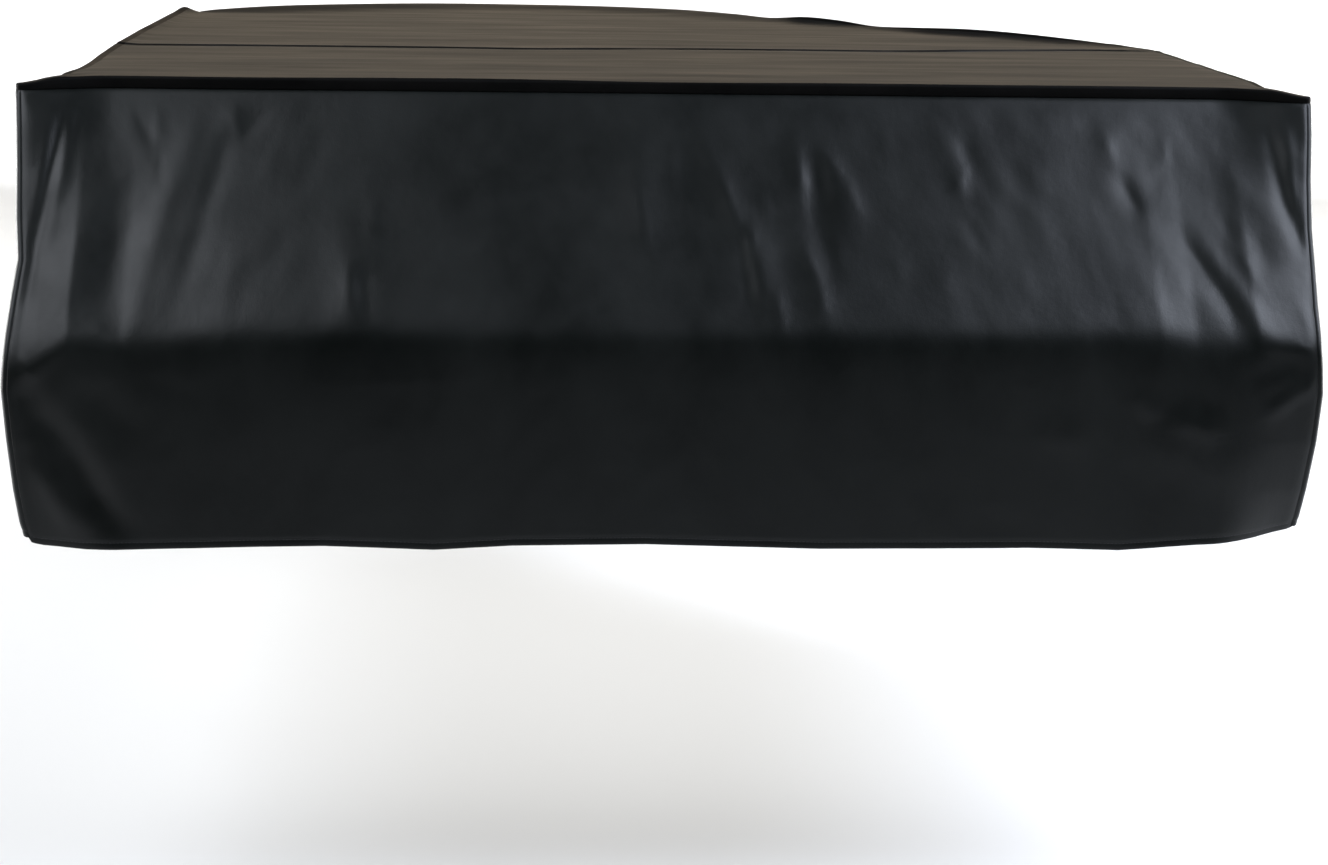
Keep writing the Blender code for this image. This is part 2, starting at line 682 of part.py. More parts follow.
def patch(cloth, piece, loop, centre, mid_share):
    """Fill a flat loop of points with a ring and a fan to its centre."""
    middle = cloth.add((centre[0], centre[1], CLOTH))
    ring = []
    for corner in loop:
        here = cloth.points[corner]
        x = centre[0] + (here[0] - centre[0]) * mid_share
        y = centre[1] + (here[1] - centre[1]) * mid_share
        ring.append(cloth.add((x, y, CLOTH)))
    count = len(loop)
    for i in range(count):
        j = (i + 1) % count
        cloth.quad(piece, loop[i], loop[j], ring[j], ring[i])
        cloth.tri(piece, ring[i], ring[j], middle)


def join_columns(cloth, piece, here, ahead):
    """Fill between two columns of a skirt that may keep different rows."""
    rows_here = sorted(here)
    rows_ahead = sorted(ahead)
    i = 0
    j = 0
    while i < len(rows_here) - 1 or j < len(rows_ahead) - 1:
        a = here[rows_here[i]]
        d = ahead[rows_ahead[j]]
        next_here = rows_here[min(i + 1, len(rows_here) - 1)]
        next_ahead = rows_ahead[min(j + 1, len(rows_ahead) - 1)]
        if rows_here[i] == rows_ahead[j] and next_here == next_ahead:
            cloth.quad(piece, a, here[next_here], ahead[next_ahead], d)
            i += 1
            j += 1
        elif next_here <= next_ahead and i < len(rows_here) - 1:
            cloth.tri(piece, a, here[next_here], d)
            i += 1
        else:
            cloth.tri(piece, a, ahead[next_ahead], d)
            j += 1


def split_line(cloth, line, start, end):
    """Cut the spans of a line of points in two, between its end points."""
    whole = [start] + line + [end]
    out = []
    for i in range(len(whole) - 1):
        middle = 0.5 * (cloth.points[whole[i]] + cloth.points[whole[i + 1]])
        out.append(cloth.add(middle))
        if i < len(line):
            out.append(line[i])
    return out


def lay_cloth():
    """Lay out every point and face of the cover."""
    cloth = Cloth()
    ring, marks = ring_of_stations()
    knob = marks["knob"]
    for number, station in enumerate(ring):
        if station.kind == "side":
            station.kind = "bass" if number > knob else "bent"
            if station.kind == "bass":
                station.place = station.y
    skirt = []
    for number, station in enumerate(ring):
        plain = marks["treble_front"] < number < marks["bass_front"]
        rows = SIDE_ROWS if plain else range(len(ROW_SHARES))
        column = {}
        for row in rows:
            share = ROW_SHARES[row]
            thick = HEM_CLOTH if share > HEM_SHARE else CLOTH
            column[row] = cloth.add(skirt_point(station, share), thick)
        skirt.append(column)
    margin = []
    for number, station in enumerate(ring):
        seam = cloth.points[skirt[number][0]]
        crest = crest_point(station, seam)
        inner = inner_point(station, crest)
        shoulder = crest.copy()
        shoulder[0] = 0.35 * crest[0] + 0.65 * seam[0]
        shoulder[1] = 0.35 * crest[1] + 0.65 * seam[1]
        shoulder[2] = crest[2] - 0.0016
        column = [skirt[number][0], cloth.add(shoulder)]
        rise = crest[2] - inner[2]
        for part, height in MARGIN:
            spot = crest + (inner - crest) * part
            spot[2] = inner[2] + rise * height
            column.append(cloth.add(spot))
        margin.append(column)
    seam_left = marks["cross_seam_left"]
    seam_right = marks["cross_seam_right"]
    right_seam = marks["right_seam"]
    count = len(ring)
    for number in range(count):
        ahead = (number + 1) % count
        piece = "skirt_bentside"
        if number < right_seam:
            piece = "skirt_front"
        elif number >= knob:
            piece = "skirt_bass"
        join_columns(cloth, piece, skirt[number], skirt[ahead])
        piece = "top_front"
        if seam_right <= number < seam_left:
            piece = "top_main"
        for row in range(len(margin[number]) - 1):
            a = margin[number][row]
            b = margin[ahead][row]
            c = margin[ahead][row + 1]
            d = margin[number][row + 1]
            cloth.quad(piece, a, b, c, d)
    seam_line = [cloth.add((row.x, row.y, CLOTH)) for row in CROSS_SEAM]
    seam_line = split_line(cloth, seam_line, margin[seam_left][-1], margin[seam_right][-1])
    front_loop = []
    for number in range(seam_left, count + seam_right + 1):
        front_loop.append(margin[number % count][-1])
    front_loop.extend(reversed(seam_line))
    patch(cloth, "top_front", front_loop, FRONT_CENTRE, 0.62)
    main_loop = [margin[number][-1] for number in range(seam_right, seam_left + 1)]
    main_loop.extend(seam_line)
    patch(cloth, "top_main", main_loop, MAIN_CENTRE, 0.60)
    return cloth


def main():
    """Build the five pieces of the cover."""
    for item in list(bpy.data.objects):
        bpy.data.objects.remove(item, do_unlink=True)
    cloth = lay_cloth()
    normals = cloth.normals()
    shades = {
        "top_front": (0.030, 0.028, 0.026),
        "top_main": (0.028, 0.026, 0.025),
        "skirt_front": (0.018, 0.020, 0.021),
        "skirt_bass": (0.019, 0.020, 0.021),
        "skirt_bentside": (0.020, 0.020, 0.021),
    }
    for piece, colour in shades.items():
        material = make_material("coated_cloth_" + piece, colour, 0.42)
        body = build_piece(cloth, piece, normals, material)
        print(piece, len(body.data.polygons))


main()
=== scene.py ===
"""Looks of a fitted dust cover for a baby grand piano, in coated cloth.

The cover is laid out as one sheet: skirts all round, a rolled top edge, a raised
margin and a flat top with a seam across it. The sheet is displaced by its folds,
cut into the five sewn pieces and given its thickness. Metres, +Z up, with the
front towards -Y and the bass side at -X. Plan sizes in the tables are measured
from the front edge of the lid, and PLAN_SHIFT moves them to the frame's origin.
"""

import logging
import math
from dataclasses import dataclass, field
from enum import Enum
from typing import Iterable, NamedTuple, Sequence

import bpy
import numpy as np
from mathutils import Matrix, Vector
from mathutils.kdtree import KDTree


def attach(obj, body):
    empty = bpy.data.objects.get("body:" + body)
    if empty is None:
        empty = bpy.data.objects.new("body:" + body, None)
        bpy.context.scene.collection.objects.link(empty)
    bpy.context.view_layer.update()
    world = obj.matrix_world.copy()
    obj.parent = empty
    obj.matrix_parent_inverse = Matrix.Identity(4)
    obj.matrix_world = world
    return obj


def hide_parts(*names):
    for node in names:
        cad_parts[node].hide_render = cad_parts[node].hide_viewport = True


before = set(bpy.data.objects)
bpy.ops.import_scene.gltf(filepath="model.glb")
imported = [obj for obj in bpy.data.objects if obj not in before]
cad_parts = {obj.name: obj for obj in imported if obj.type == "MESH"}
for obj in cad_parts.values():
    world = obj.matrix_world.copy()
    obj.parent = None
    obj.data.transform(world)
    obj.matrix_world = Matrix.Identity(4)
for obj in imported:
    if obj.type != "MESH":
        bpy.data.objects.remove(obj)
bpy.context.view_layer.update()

PLAN_SHIFT = -0.60
FLOOR_Z = -1.0048
SEAM_STATIONS = (0.0022, 0.0048)
WHITE = (1.0, 1.0, 1.0)

log = logging.getLogger("grand_piano_cover")


class CornerRow(NamedTuple):
    """Outline seen from the front at one height."""

    z: float
    left: float
    right: float
    set_left: float
    set_right: float


class EdgeRow(NamedTuple):
    """Crest of the top edge at one place."""

    name: str
    x: float
    y: float
    crest: float
    flare: float
    band: float


class PairRow(NamedTuple):
    """A value that belongs to a place along a line."""

    at: float
    value: float


class SwayRow(NamedTuple):
    """Soft upright fold of a side skirt."""

    centre: float
    width: float
    top: float
    foot: float


class Profile(Enum):
    """Cross section of a fold."""

    ROUND = "round"
    CRISP = "crisp"


class FoldRow(NamedTuple):
    """Fold of the front skirt seen from the front."""

    x0: float
    z0: float
    x1: float
    z1: float
    width: float
    height: float
    profile: Profile = Profile.ROUND


CORNERS = (
    CornerRow(-0.012, -0.801, 0.796, 0.036, 0.042),
    CornerRow(-0.050, -0.797, 0.792, 0.030, 0.032),
    CornerRow(-0.100, -0.793, 0.785, 0.018, 0.018),
    CornerRow(-0.155, -0.789, 0.778, 0.008, 0.008),
    CornerRow(-0.200, -0.783, 0.775, 0.003, 0.002),
    CornerRow(-0.240, -0.787, 0.771, 0.000, 0.000),
    CornerRow(-0.285, -0.790, 0.769, 0.000, 0.000),
    CornerRow(-0.340, -0.792, 0.773, 0.000, 0.004),
    CornerRow(-0.400, -0.788, 0.770, 0.003, 0.010),
    CornerRow(-0.460, -0.783, 0.765, 0.009, 0.022),
    CornerRow(-0.500, -0.778, 0.762, 0.014, 0.036),
    CornerRow(-0.530, -0.771, 0.757, 0.018, 0.046),
)

EDGE = (
    EdgeRow("treble_front", 0.760, 0.014, -0.0045, 0.004, 0.045),
    EdgeRow("treble_arm", 0.758, 0.080, -0.0003, 0.006, 0.045),
    EdgeRow("treble_mid", 0.759, 0.300, -0.0003, 0.010, 0.045),
    EdgeRow("treble_back", 0.760, 0.500, 0.0003, 0.014, 0.045),
    EdgeRow("cross_seam_right", 0.752, 0.590, 0.0012, 0.018, 0.045),
    EdgeRow("bend", 0.704, 0.662, 0.0050, 0.022, 0.045),
    EdgeRow("bent_one", 0.597, 0.772, 0.0110, 0.020, 0.045),
    EdgeRow("bent_two", 0.520, 0.852, 0.0120, 0.014, 0.045),
    EdgeRow("bent_three", 0.445, 0.925, 0.0085, 0.010, 0.045),
    EdgeRow("waist_dip", 0.388, 0.978, 0.0062, 0.008, 0.045),
    EdgeRow("waist_rise", 0.335, 1.030, 0.0115, 0.008, 0.045),
    EdgeRow("bent_four", 0.285, 1.085, 0.0130, 0.012, 0.050),
    EdgeRow("bent_dip", 0.232, 1.138, 0.0075, 0.016, 0.080),
    EdgeRow("bent_five", 0.175, 1.195, 0.0095, 0.020, 0.120),
    EdgeRow("tail_right", 0.076, 1.284, 0.0105, 0.018, 0.130),
    EdgeRow("tail_back", -0.060, 1.347, 0.0105, 0.012, 0.130),
    EdgeRow("tail_mid", -0.205, 1.367, 0.0105, 0.010, 0.130),
    EdgeRow("tail_left", -0.335, 1.358, 0.0110, 0.014, 0.130),
    EdgeRow("tail_bend", -0.456, 1.322, 0.0110, 0.018, 0.120),
    EdgeRow("tail_side", -0.596, 1.252, 0.0105, 0.014, 0.100),
    EdgeRow("knob_foot", -0.702, 1.206, 0.0055, 0.008, 0.070),
    EdgeRow("knob_dip", -0.729, 1.187, 0.0030, 0.006, 0.050),
    EdgeRow("knob", -0.745, 1.160, 0.0125, 0.006, 0.045),
    EdgeRow("bass_back", -0.752, 1.080, 0.0090, 0.010, 0.045),
    EdgeRow("bass_three", -0.753, 0.900, 0.0080, 0.016, 0.045),
    EdgeRow("bass_two", -0.755, 0.700, 0.0060, 0.014, 0.045),
    EdgeRow("cross_seam_left", -0.755, 0.487, 0.0042, 0.012, 0.045),
    EdgeRow("bass_one", -0.753, 0.330, 0.0010, 0.012, 0.045),
    EdgeRow("bass_pinch", -0.747, 0.145, 0.0005, 0.010, 0.045),
    EdgeRow("bass_arm", -0.757, 0.070, -0.0010, 0.008, 0.045),
    EdgeRow("bass_front", -0.758, 0.014, -0.0045, 0.006, 0.045),
)

CROSS_SEAM = (
    PairRow(-0.600, 0.486), PairRow(-0.300, 0.483), PairRow(-0.170, 0.472),
    PairRow(0.050, 0.502), PairRow(0.330, 0.506), PairRow(0.500, 0.540),
    PairRow(0.650, 0.568),
)

FRONT_HEM = (
    PairRow(-0.780, -0.002), PairRow(-0.750, 0.004), PairRow(-0.700, 0.006),
    PairRow(-0.655, 0.005), PairRow(-0.500, 0.001), PairRow(-0.420, 0.000),
    PairRow(-0.290, 0.005), PairRow(-0.200, 0.000), PairRow(-0.040, -0.002),
    PairRow(0.168, 0.004), PairRow(0.420, 0.003), PairRow(0.530, 0.006),
    PairRow(0.620, -0.001), PairRow(0.700, -0.005), PairRow(0.770, -0.013),
)

BREAK_LINE = (
    PairRow(-0.780, -0.312), PairRow(-0.750, -0.303), PairRow(-0.714, -0.284),
    PairRow(-0.653, -0.293), PairRow(-0.608, -0.287), PairRow(-0.531, -0.280),
    PairRow(-0.401, -0.276), PairRow(0.232, -0.275), PairRow(0.573, -0.274),
    PairRow(0.617, -0.284), PairRow(0.661, -0.282), PairRow(0.689, -0.276),
    PairRow(0.765, -0.285),
)

# Folds that the solids have too, at the same places and to within three millimetres
MAIN_FOLDS = (
    FoldRow(-0.747, -0.030, -0.769, -0.160, 0.0080, 0.0011),
    FoldRow(-0.741, -0.040, -0.760, -0.170, 0.0085, -0.0020),
    FoldRow(-0.756, -0.140, -0.768, -0.260, 0.0100, -0.0026),
    FoldRow(-0.733, -0.020, -0.739, -0.130, 0.0085, 0.0014),
    FoldRow(-0.737, -0.105, -0.758, -0.225, 0.0085, 0.0012),
    FoldRow(-0.690, -0.110, -0.722, -0.220, 0.0220, 0.0018),
    FoldRow(-0.715, -0.195, -0.750, -0.310, 0.0240, 0.0022),
    FoldRow(-0.662, -0.110, -0.669, -0.280, 0.0190, -0.0019),
    FoldRow(-0.580, -0.045, -0.616, -0.150, 0.0190, 0.0019),
    FoldRow(-0.608, -0.125, -0.649, -0.300, 0.0160, 0.0022),
    FoldRow(-0.541, -0.055, -0.563, -0.145, 0.0110, -0.0015),
    FoldRow(-0.558, -0.122, -0.586, -0.228, 0.0125, -0.0013),
    FoldRow(-0.492, -0.028, -0.538, -0.080, 0.0100, -0.0011),
    FoldRow(-0.668, -0.034, -0.640, -0.100, 0.0110, 0.0008),
    FoldRow(-0.776, -0.333, -0.712, -0.280, 0.0140, 0.0027),
    FoldRow(-0.718, -0.274, -0.648, -0.292, 0.0150, 0.0016),
    FoldRow(-0.775, -0.325, -0.734, -0.400, 0.0200, -0.0045),
    FoldRow(-0.734, -0.376, -0.658, -0.508, 0.0200, -0.0072),
    FoldRow(-0.700, -0.330, -0.640, -0.395, 0.0280, -0.0025),
    FoldRow(-0.752, -0.425, -0.712, -0.505, 0.0160, 0.0040),
    FoldRow(-0.396, -0.150, -0.384, -0.280, 0.0300, 0.0023),
    FoldRow(-0.051, -0.065, -0.039, -0.185, 0.0240, 0.0023),
    FoldRow(0.042, -0.080, 0.078, -0.170, 0.0170, 0.0019),
    FoldRow(0.086, -0.145, 0.117, -0.275, 0.0180, 0.0022),
    FoldRow(0.148, -0.050, 0.153, -0.126, 0.0140, 0.0015),
    FoldRow(0.176, -0.070, 0.170, -0.205, 0.0150, -0.0018),
    FoldRow(0.170, -0.060, 0.223, -0.160, 0.0170, 0.0019),
    FoldRow(0.152, -0.175, 0.174, -0.268, 0.0180, 0.0018),
    FoldRow(0.534, -0.040, 0.538, -0.125, 0.0180, 0.0013),
    FoldRow(0.563, -0.050, 0.590, -0.088, 0.0130, -0.0011),
    FoldRow(0.549, -0.095, 0.565, -0.150, 0.0140, -0.0013),
    FoldRow(0.592, -0.110, 0.611, -0.163, 0.0160, 0.0011),
    FoldRow(0.738, -0.030, 0.745, -0.135, 0.0100, -0.0021),
    FoldRow(0.743, -0.112, 0.766, -0.185, 0.0110, -0.0025),
    FoldRow(0.758, -0.025, 0.760, -0.160, 0.0085, 0.0013),
    FoldRow(0.694, -0.100, 0.757, -0.190, 0.0150, 0.0011),
    FoldRow(0.615, -0.162, 0.681, -0.278, 0.0150, -0.0023),
    FoldRow(0.634, -0.168, 0.696, -0.275, 0.0150, 0.0019),
    FoldRow(0.700, -0.160, 0.713, -0.205, 0.0130, -0.0010),
    FoldRow(0.686, -0.267, 0.756, -0.293, 0.0140, 0.0020),
    FoldRow(0.745, -0.286, 0.680, -0.332, 0.0200, -0.0017),
    FoldRow(0.572, -0.382, 0.676, -0.446, 0.0340, 0.0024),
)

# Smaller creases between the main folds
SMALL_FOLDS = (
    FoldRow(-0.630, -0.037, -0.627, -0.069, 0.006, 0.0006),
    FoldRow(-0.655, -0.041, -0.635, -0.072, 0.005, -0.0006, Profile.CRISP),
    FoldRow(-0.622, -0.088, -0.620, -0.119, 0.006, -0.0007),
    FoldRow(-0.539, -0.034, -0.531, -0.068, 0.006, 0.0007, Profile.CRISP),
    FoldRow(-0.688, -0.266, -0.653, -0.290, 0.006, 0.0010),
    FoldRow(-0.470, -0.050, -0.500, -0.110, 0.010, 0.0005),
    FoldRow(-0.392, -0.196, -0.388, -0.256, 0.008, 0.0014, Profile.CRISP),
    FoldRow(-0.374, -0.205, -0.366, -0.260, 0.009, -0.0013),
    FoldRow(-0.364, -0.130, -0.366, -0.185, 0.010, 0.0008),
    FoldRow(-0.046, -0.118, -0.039, -0.177, 0.007, 0.0010, Profile.CRISP),
    FoldRow(0.030, -0.050, 0.048, -0.095, 0.009, 0.0006),
    FoldRow(0.054, -0.102, 0.074, -0.160, 0.006, 0.0010, Profile.CRISP),
    FoldRow(0.091, -0.156, 0.088, -0.186, 0.006, 0.0012, Profile.CRISP),
    FoldRow(0.075, -0.168, 0.082, -0.240, 0.007, -0.0010, Profile.CRISP),
    FoldRow(0.092, -0.190, 0.102, -0.236, 0.008, 0.0007),
    FoldRow(0.116, -0.228, 0.119, -0.268, 0.005, 0.0010, Profile.CRISP),
    FoldRow(0.106, -0.222, 0.108, -0.266, 0.006, -0.0009, Profile.CRISP),
    FoldRow(0.148, -0.072, 0.152, -0.116, 0.006, 0.0007, Profile.CRISP),
    FoldRow(0.166, -0.090, 0.163, -0.150, 0.005, -0.0008, Profile.CRISP),
    FoldRow(0.177, -0.076, 0.206, -0.104, 0.006, 0.0010, Profile.CRISP),
    FoldRow(0.206, -0.104, 0.222, -0.146, 0.007, 0.0009, Profile.CRISP),
    FoldRow(0.150, -0.180, 0.166, -0.214, 0.006, 0.0010, Profile.CRISP),
    FoldRow(0.166, -0.208, 0.169, -0.250, 0.007, 0.0009, Profile.CRISP),
    FoldRow(0.178, -0.170, 0.186, -0.212, 0.007, -0.0007),
    FoldRow(0.104, -0.122, 0.112, -0.150, 0.007, 0.0006),
    FoldRow(0.261, -0.050, 0.262, -0.082, 0.009, 0.0005),
    FoldRow(0.261, -0.190, 0.268, -0.218, 0.009, 0.0005),
    FoldRow(0.342, -0.080, 0.350, -0.130, 0.010, 0.0010),
    FoldRow(0.362, -0.085, 0.344, -0.118, 0.006, 0.0010, Profile.CRISP),
    FoldRow(0.356, -0.060, 0.366, -0.100, 0.008, -0.0010),
    FoldRow(0.350, -0.150, 0.368, -0.182, 0.008, -0.0009),
    FoldRow(0.610, -0.055, 0.605, -0.089, 0.007, 0.0007),
    FoldRow(0.534, -0.052, 0.541, -0.084, 0.006, 0.0008, Profile.CRISP),
    FoldRow(0.550, -0.104, 0.566, -0.142, 0.005, -0.0008, Profile.CRISP),
    FoldRow(0.669, -0.143, 0.674, -0.171, 0.007, -0.0007),
    FoldRow(0.680, -0.181, 0.704, -0.229, 0.007, 0.0007),
    FoldRow(0.783, -0.026, 0.774, -0.110, 0.004, 0.0005, Profile.CRISP),
    FoldRow(0.619, -0.171, 0.640, -0.206, 0.005, -0.0010, Profile.CRISP),
    FoldRow(0.640, -0.206, 0.679, -0.264, 0.007, -0.0008, Profile.CRISP),
    FoldRow(0.731, -0.276, 0.758, -0.292, 0.004, 0.0008, Profile.CRISP),
    FoldRow(0.762, -0.310, 0.748, -0.345, 0.006, 0.0008),
    FoldRow(0.690, -0.330, 0.735, -0.318, 0.010, 0.0008),
    FoldRow(0.585, -0.366, 0.650, -0.386, 0.018, 0.0026),
    FoldRow(0.758, -0.322, 0.702, -0.366, 0.010, 0.0020),
    FoldRow(0.540, -0.340, 0.572, -0.366, 0.014, 0.0012),
    FoldRow(0.420, -0.385, 0.490, -0.400, 0.020, 0.0012),
    FoldRow(-0.769, -0.300, -0.752, -0.325, 0.005, 0.0010, Profile.CRISP),
    FoldRow(-0.650, -0.320, -0.560, -0.345, 0.014, -0.0006),
)

BASS_SWAYS = (
    SwayRow(0.020, 0.060, 0.000, 0.008), SwayRow(0.160, 0.055, 0.001, -0.009),
    SwayRow(0.330, 0.070, 0.001, 0.011), SwayRow(0.520, 0.060, 0.000, -0.008),
    SwayRow(0.720, 0.075, 0.001, 0.012), SwayRow(0.930, 0.060, 0.000, -0.009),
)

BENT_SWAYS = (
    SwayRow(0.130, 0.060, 0.001, -0.009), SwayRow(0.320, 0.065, 0.001, 0.011),
    SwayRow(0.500, 0.055, 0.000, -0.008), SwayRow(0.720, 0.070, 0.002, 0.014),
    SwayRow(0.900, 0.055, 0.000, -0.010), SwayRow(1.110, 0.070, 0.001, 0.012),
    SwayRow(1.300, 0.060, 0.000, -0.010), SwayRow(1.520, 0.075, 0.002, 0.014),
    SwayRow(1.740, 0.060, 0.000, -0.010), SwayRow(1.950, 0.070, 0.001, 0.012),
    SwayRow(2.150, 0.060, 0.000, -0.010), SwayRow(2.330, 0.055, 0.001, 0.009),
)

# Rise of the raised margin, by share of the way in from the crest
MARGIN = (
    PairRow(0.00, 1.000), PairRow(0.05, 0.970), PairRow(0.10, 0.900),
    PairRow(0.16, 0.800), PairRow(0.23, 0.650), PairRow(0.32, 0.460),
    PairRow(0.42, 0.280), PairRow(0.52, 0.160), PairRow(0.61, 0.085),
    PairRow(0.70, 0.040), PairRow(0.80, 0.014), PairRow(0.90, 0.003),
    PairRow(1.00, 0.000),
)


def ease(value: np.ndarray) -> np.ndarray:
    """Ease shares between 0 and 1, level at both ends."""
    share = np.clip(value, 0.0, 1.0)
    return share * share * (3.0 - 2.0 * share)


def read(rows: Sequence[tuple], key: int, column: int, at: np.ndarray) -> np.ndarray:
    """Read a column of a table between its rows.

    Args:
        rows: the table.
        key: number of the column that is looked up.
        column: number of the column that is read.
        at: places to read it at.

    Returns:
        The column's value at each place.
    """
    keys = np.array([row[key] for row in rows])
    values = np.array([row[column] for row in rows])
    order = np.argsort(keys)
    return np.interp(at, keys[order], values[order])


def curve_through(points: np.ndarray, step: float, close_to: Iterable[int]) -> tuple:
    """Lay a smooth curve through points.

    Args:
        points: the points, a row each.
        step: longest step along the curve.
        close_to: numbers of the points that need extra stations beside them.

    Returns:
        The curve's points and the number there of each given point.
    """
    close = set(close_to)
    last = len(points) - 1
    out = []
    marks = []
    for i in range(last):
        before, start = points[max(0, i - 1)], points[i]
        end, after = points[i + 1], points[min(last, i + 2)]
        span = float(np.linalg.norm((end - start)[:2]))
        cuts = max(1, int(math.ceil(span / step)))
        shares = [c / cuts for c in range(cuts)]
        if i in close:
            shares += [gap / span for gap in SEAM_STATIONS]
        if i + 1 in close:
            shares += [1.0 - gap / span for gap in SEAM_STATIONS]
        marks.append(len(out))
        for t in sorted(shares):
            out.append(0.5 * (2.0 * start + (end - before) * t
                              + (2.0 * before - 5.0 * start + 4.0 * end - after) * t * t
                              + (3.0 * start - before - 3.0 * end + after) * t ** 3))
    marks.append(len(out))
    out.append(points[last])
    return np.array(out), marks


@dataclass(frozen=True)
class Crumple:
    """Seeded uneven relief on a plane, from a grid of soft hills and hollows."""

    seed: int
    across: float
    down: float
    height: float
    creased: bool = False
    cells: int = 257
    start: float = 100.0
    crease_soft: float = 0.004

    def at(self, across: np.ndarray, down: np.ndarray) -> np.ndarray:
        """Height of the relief.

        Args:
            across: places along the first direction.
            down: places along the second direction.

        Returns:
            The height at each place.
        """
        cells = self.cells
        grid = np.random.default_rng(self.seed).uniform(-1.0, 1.0, (cells, cells))
        a = across / self.across + self.start
        b = down / self.down + self.start
        i = np.floor(a).astype(int)
        j = np.floor(b).astype(int)
        u = ease(a - i)
        v = ease(b - j)
        i0, i1 = i % cells, (i + 1) % cells
        j0, j1 = j % cells, (j + 1) % cells
        low = grid[i0, j0] * (1.0 - u) + grid[i1, j0] * u
        high = grid[i0, j1] * (1.0 - u) + grid[i1, j1] * u
        value = low * (1.0 - v) + high * v
        if self.creased:
            value = 0.5 - np.sqrt(value * value + self.crease_soft)
        return value * self.height


@dataclass
class FrontShape:
    """Shape of the front skirt, slanted over the keyboard and upright below."""

    top_z: float = -0.012
    seam_y: float = -0.006
    break_y: float = -0.250
    break_soft: float = 0.010
    hem_z: float = -0.5235
    hem_y: float = -0.258
    sag: float = 0.007
    lip: float = 0.009
    lip_depth: float = 0.012
    corner_reach: float = 0.115
    turn_set: float = 0.004
    sag_reach: float = 0.74
    run_out: float = 0.20
    taper: float = 0.55
    crisp_soft: float = 0.0012
    crisp_steep: float = 1.6
    top_fade: float = 0.05
    fine_fade: float = 0.03
    edge_fade: float = 0.012
    lean_run: float = 0.05
    lean_back: float = 0.27
    lean_up: float = 0.66

    def corner_x(self, side: str, z: np.ndarray) -> np.ndarray:
        """Outermost place of a front corner at some heights."""
        return read(CORNERS, 0, 1 if side == "left" else 2, z)

    def seam_x(self, side: str, z: np.ndarray) -> np.ndarray:
        """Place of an upright corner seam at some heights."""
        return self.corner_x(side, z) + (self.lip if side == "left" else -self.lip)

    def plan_y(self, x: np.ndarray, z: np.ndarray) -> np.ndarray:
        """Plan position of the skirt before its folds.

        Args:
            x: places along the width.
            z: heights.

        Returns:
            The plan position at each place.
        """
        near_left = ease(1.0 - (x - self.corner_x("left", z)) / self.corner_reach)
        near_right = ease(1.0 - (self.corner_x("right", z) - x) / self.corner_reach)
        turn_z = read(BREAK_LINE, 0, 1, x)
        share = (self.top_z - z) / (self.top_z - turn_z)
        slant = self.seam_y + (self.break_y - self.turn_set - self.seam_y) * share
        across = np.maximum(0.0, 1.0 - (x / self.sag_reach) ** 2)
        slant = slant + self.sag * across * np.sin(math.pi * np.clip(share, 0.0, 1.0))
        upright = self.break_y + ((self.hem_y - self.break_y) * (z - turn_z)
                                  / (self.hem_z - turn_z))
        line = 0.5 * (slant + upright + np.hypot(slant - upright, 2.0 * self.break_soft))
        way = np.where(z < turn_z, 1.0, -1.0)
        return line + way * (near_left * read(CORNERS, 0, 3, z)
                             + near_right * read(CORNERS, 0, 4, z))

    def folds(self, rows: Sequence[FoldRow], x: np.ndarray, z: np.ndarray) -> np.ndarray:
        """Sum of some folds.

        Args:
            rows: the folds.
            x: places along the width.
            z: heights.

        Returns:
            How far the folds stand out at each place.
        """
        total = np.zeros_like(x)
        for fold in rows:
            run_x, run_z = fold.x1 - fold.x0, fold.z1 - fold.z0
            length = math.hypot(run_x, run_z)
            along = ((x - fold.x0) * run_x + (z - fold.z0) * run_z) / length ** 2
            off = np.abs((x - fold.x0) * run_z - (z - fold.z0) * run_x) / length
            taper = (ease((along + self.run_out) / self.taper)
                     * ease((1.0 + self.run_out - along) / self.taper))
            if fold.profile is Profile.CRISP:
                rounded = np.hypot(off, self.crisp_soft) - self.crisp_soft
                section = np.exp(-rounded / fold.width * self.crisp_steep)
            else:
                section = np.exp(-(off / fold.width) ** 2)
            total += fold.height * taper * section
        return total

    def points(self, share: np.ndarray, z: np.ndarray, fine: "FrontRelief") -> np.ndarray:
        """Points of the skirt.

        Args:
            share: shares of the width, from the bass corner seam.
            z: heights.
            fine: the small relief on top of the main folds.

        Returns:
            The points, in the same layout as the shares.
        """
        left, right = self.seam_x("left", z), self.seam_x("right", z)
        x = left + (right - left) * share
        fade = ease((self.top_z - z) / self.top_fade)
        edge = ease((x - left) / self.edge_fade) * ease((right - x) / self.edge_fade)
        height = self.folds(MAIN_FOLDS, x, z) * fade * edge
        fade = ease((self.top_z - z) / self.fine_fade)
        height = height + fine.at(self, x, z) * fade * edge
        lean = ease((z - read(BREAK_LINE, 0, 1, x)) / self.lean_run)
        y = self.plan_y(x, z) - (1.0 - self.lean_back * lean) * height
        return np.stack((x, y, z + self.lean_up * lean * height), axis=-1)

    def lip_points(self, side: str, turn: np.ndarray, z: np.ndarray) -> np.ndarray:
        """Points of the rounded lip outside a corner seam.

        Args:
            side: "left" or "right".
            turn: angles round the lip, from the seam.
            z: heights.

        Returns:
            The points, in the same layout as the angles.
        """
        seam = self.seam_x(side, z)
        sign = -1.0 if side == "left" else 1.0
        x = seam + sign * self.lip * np.sin(turn)
        y = self.plan_y(seam, z) + self.lip_depth * (1.0 - np.cos(turn))
        return np.stack((x, y, z), axis=-1)


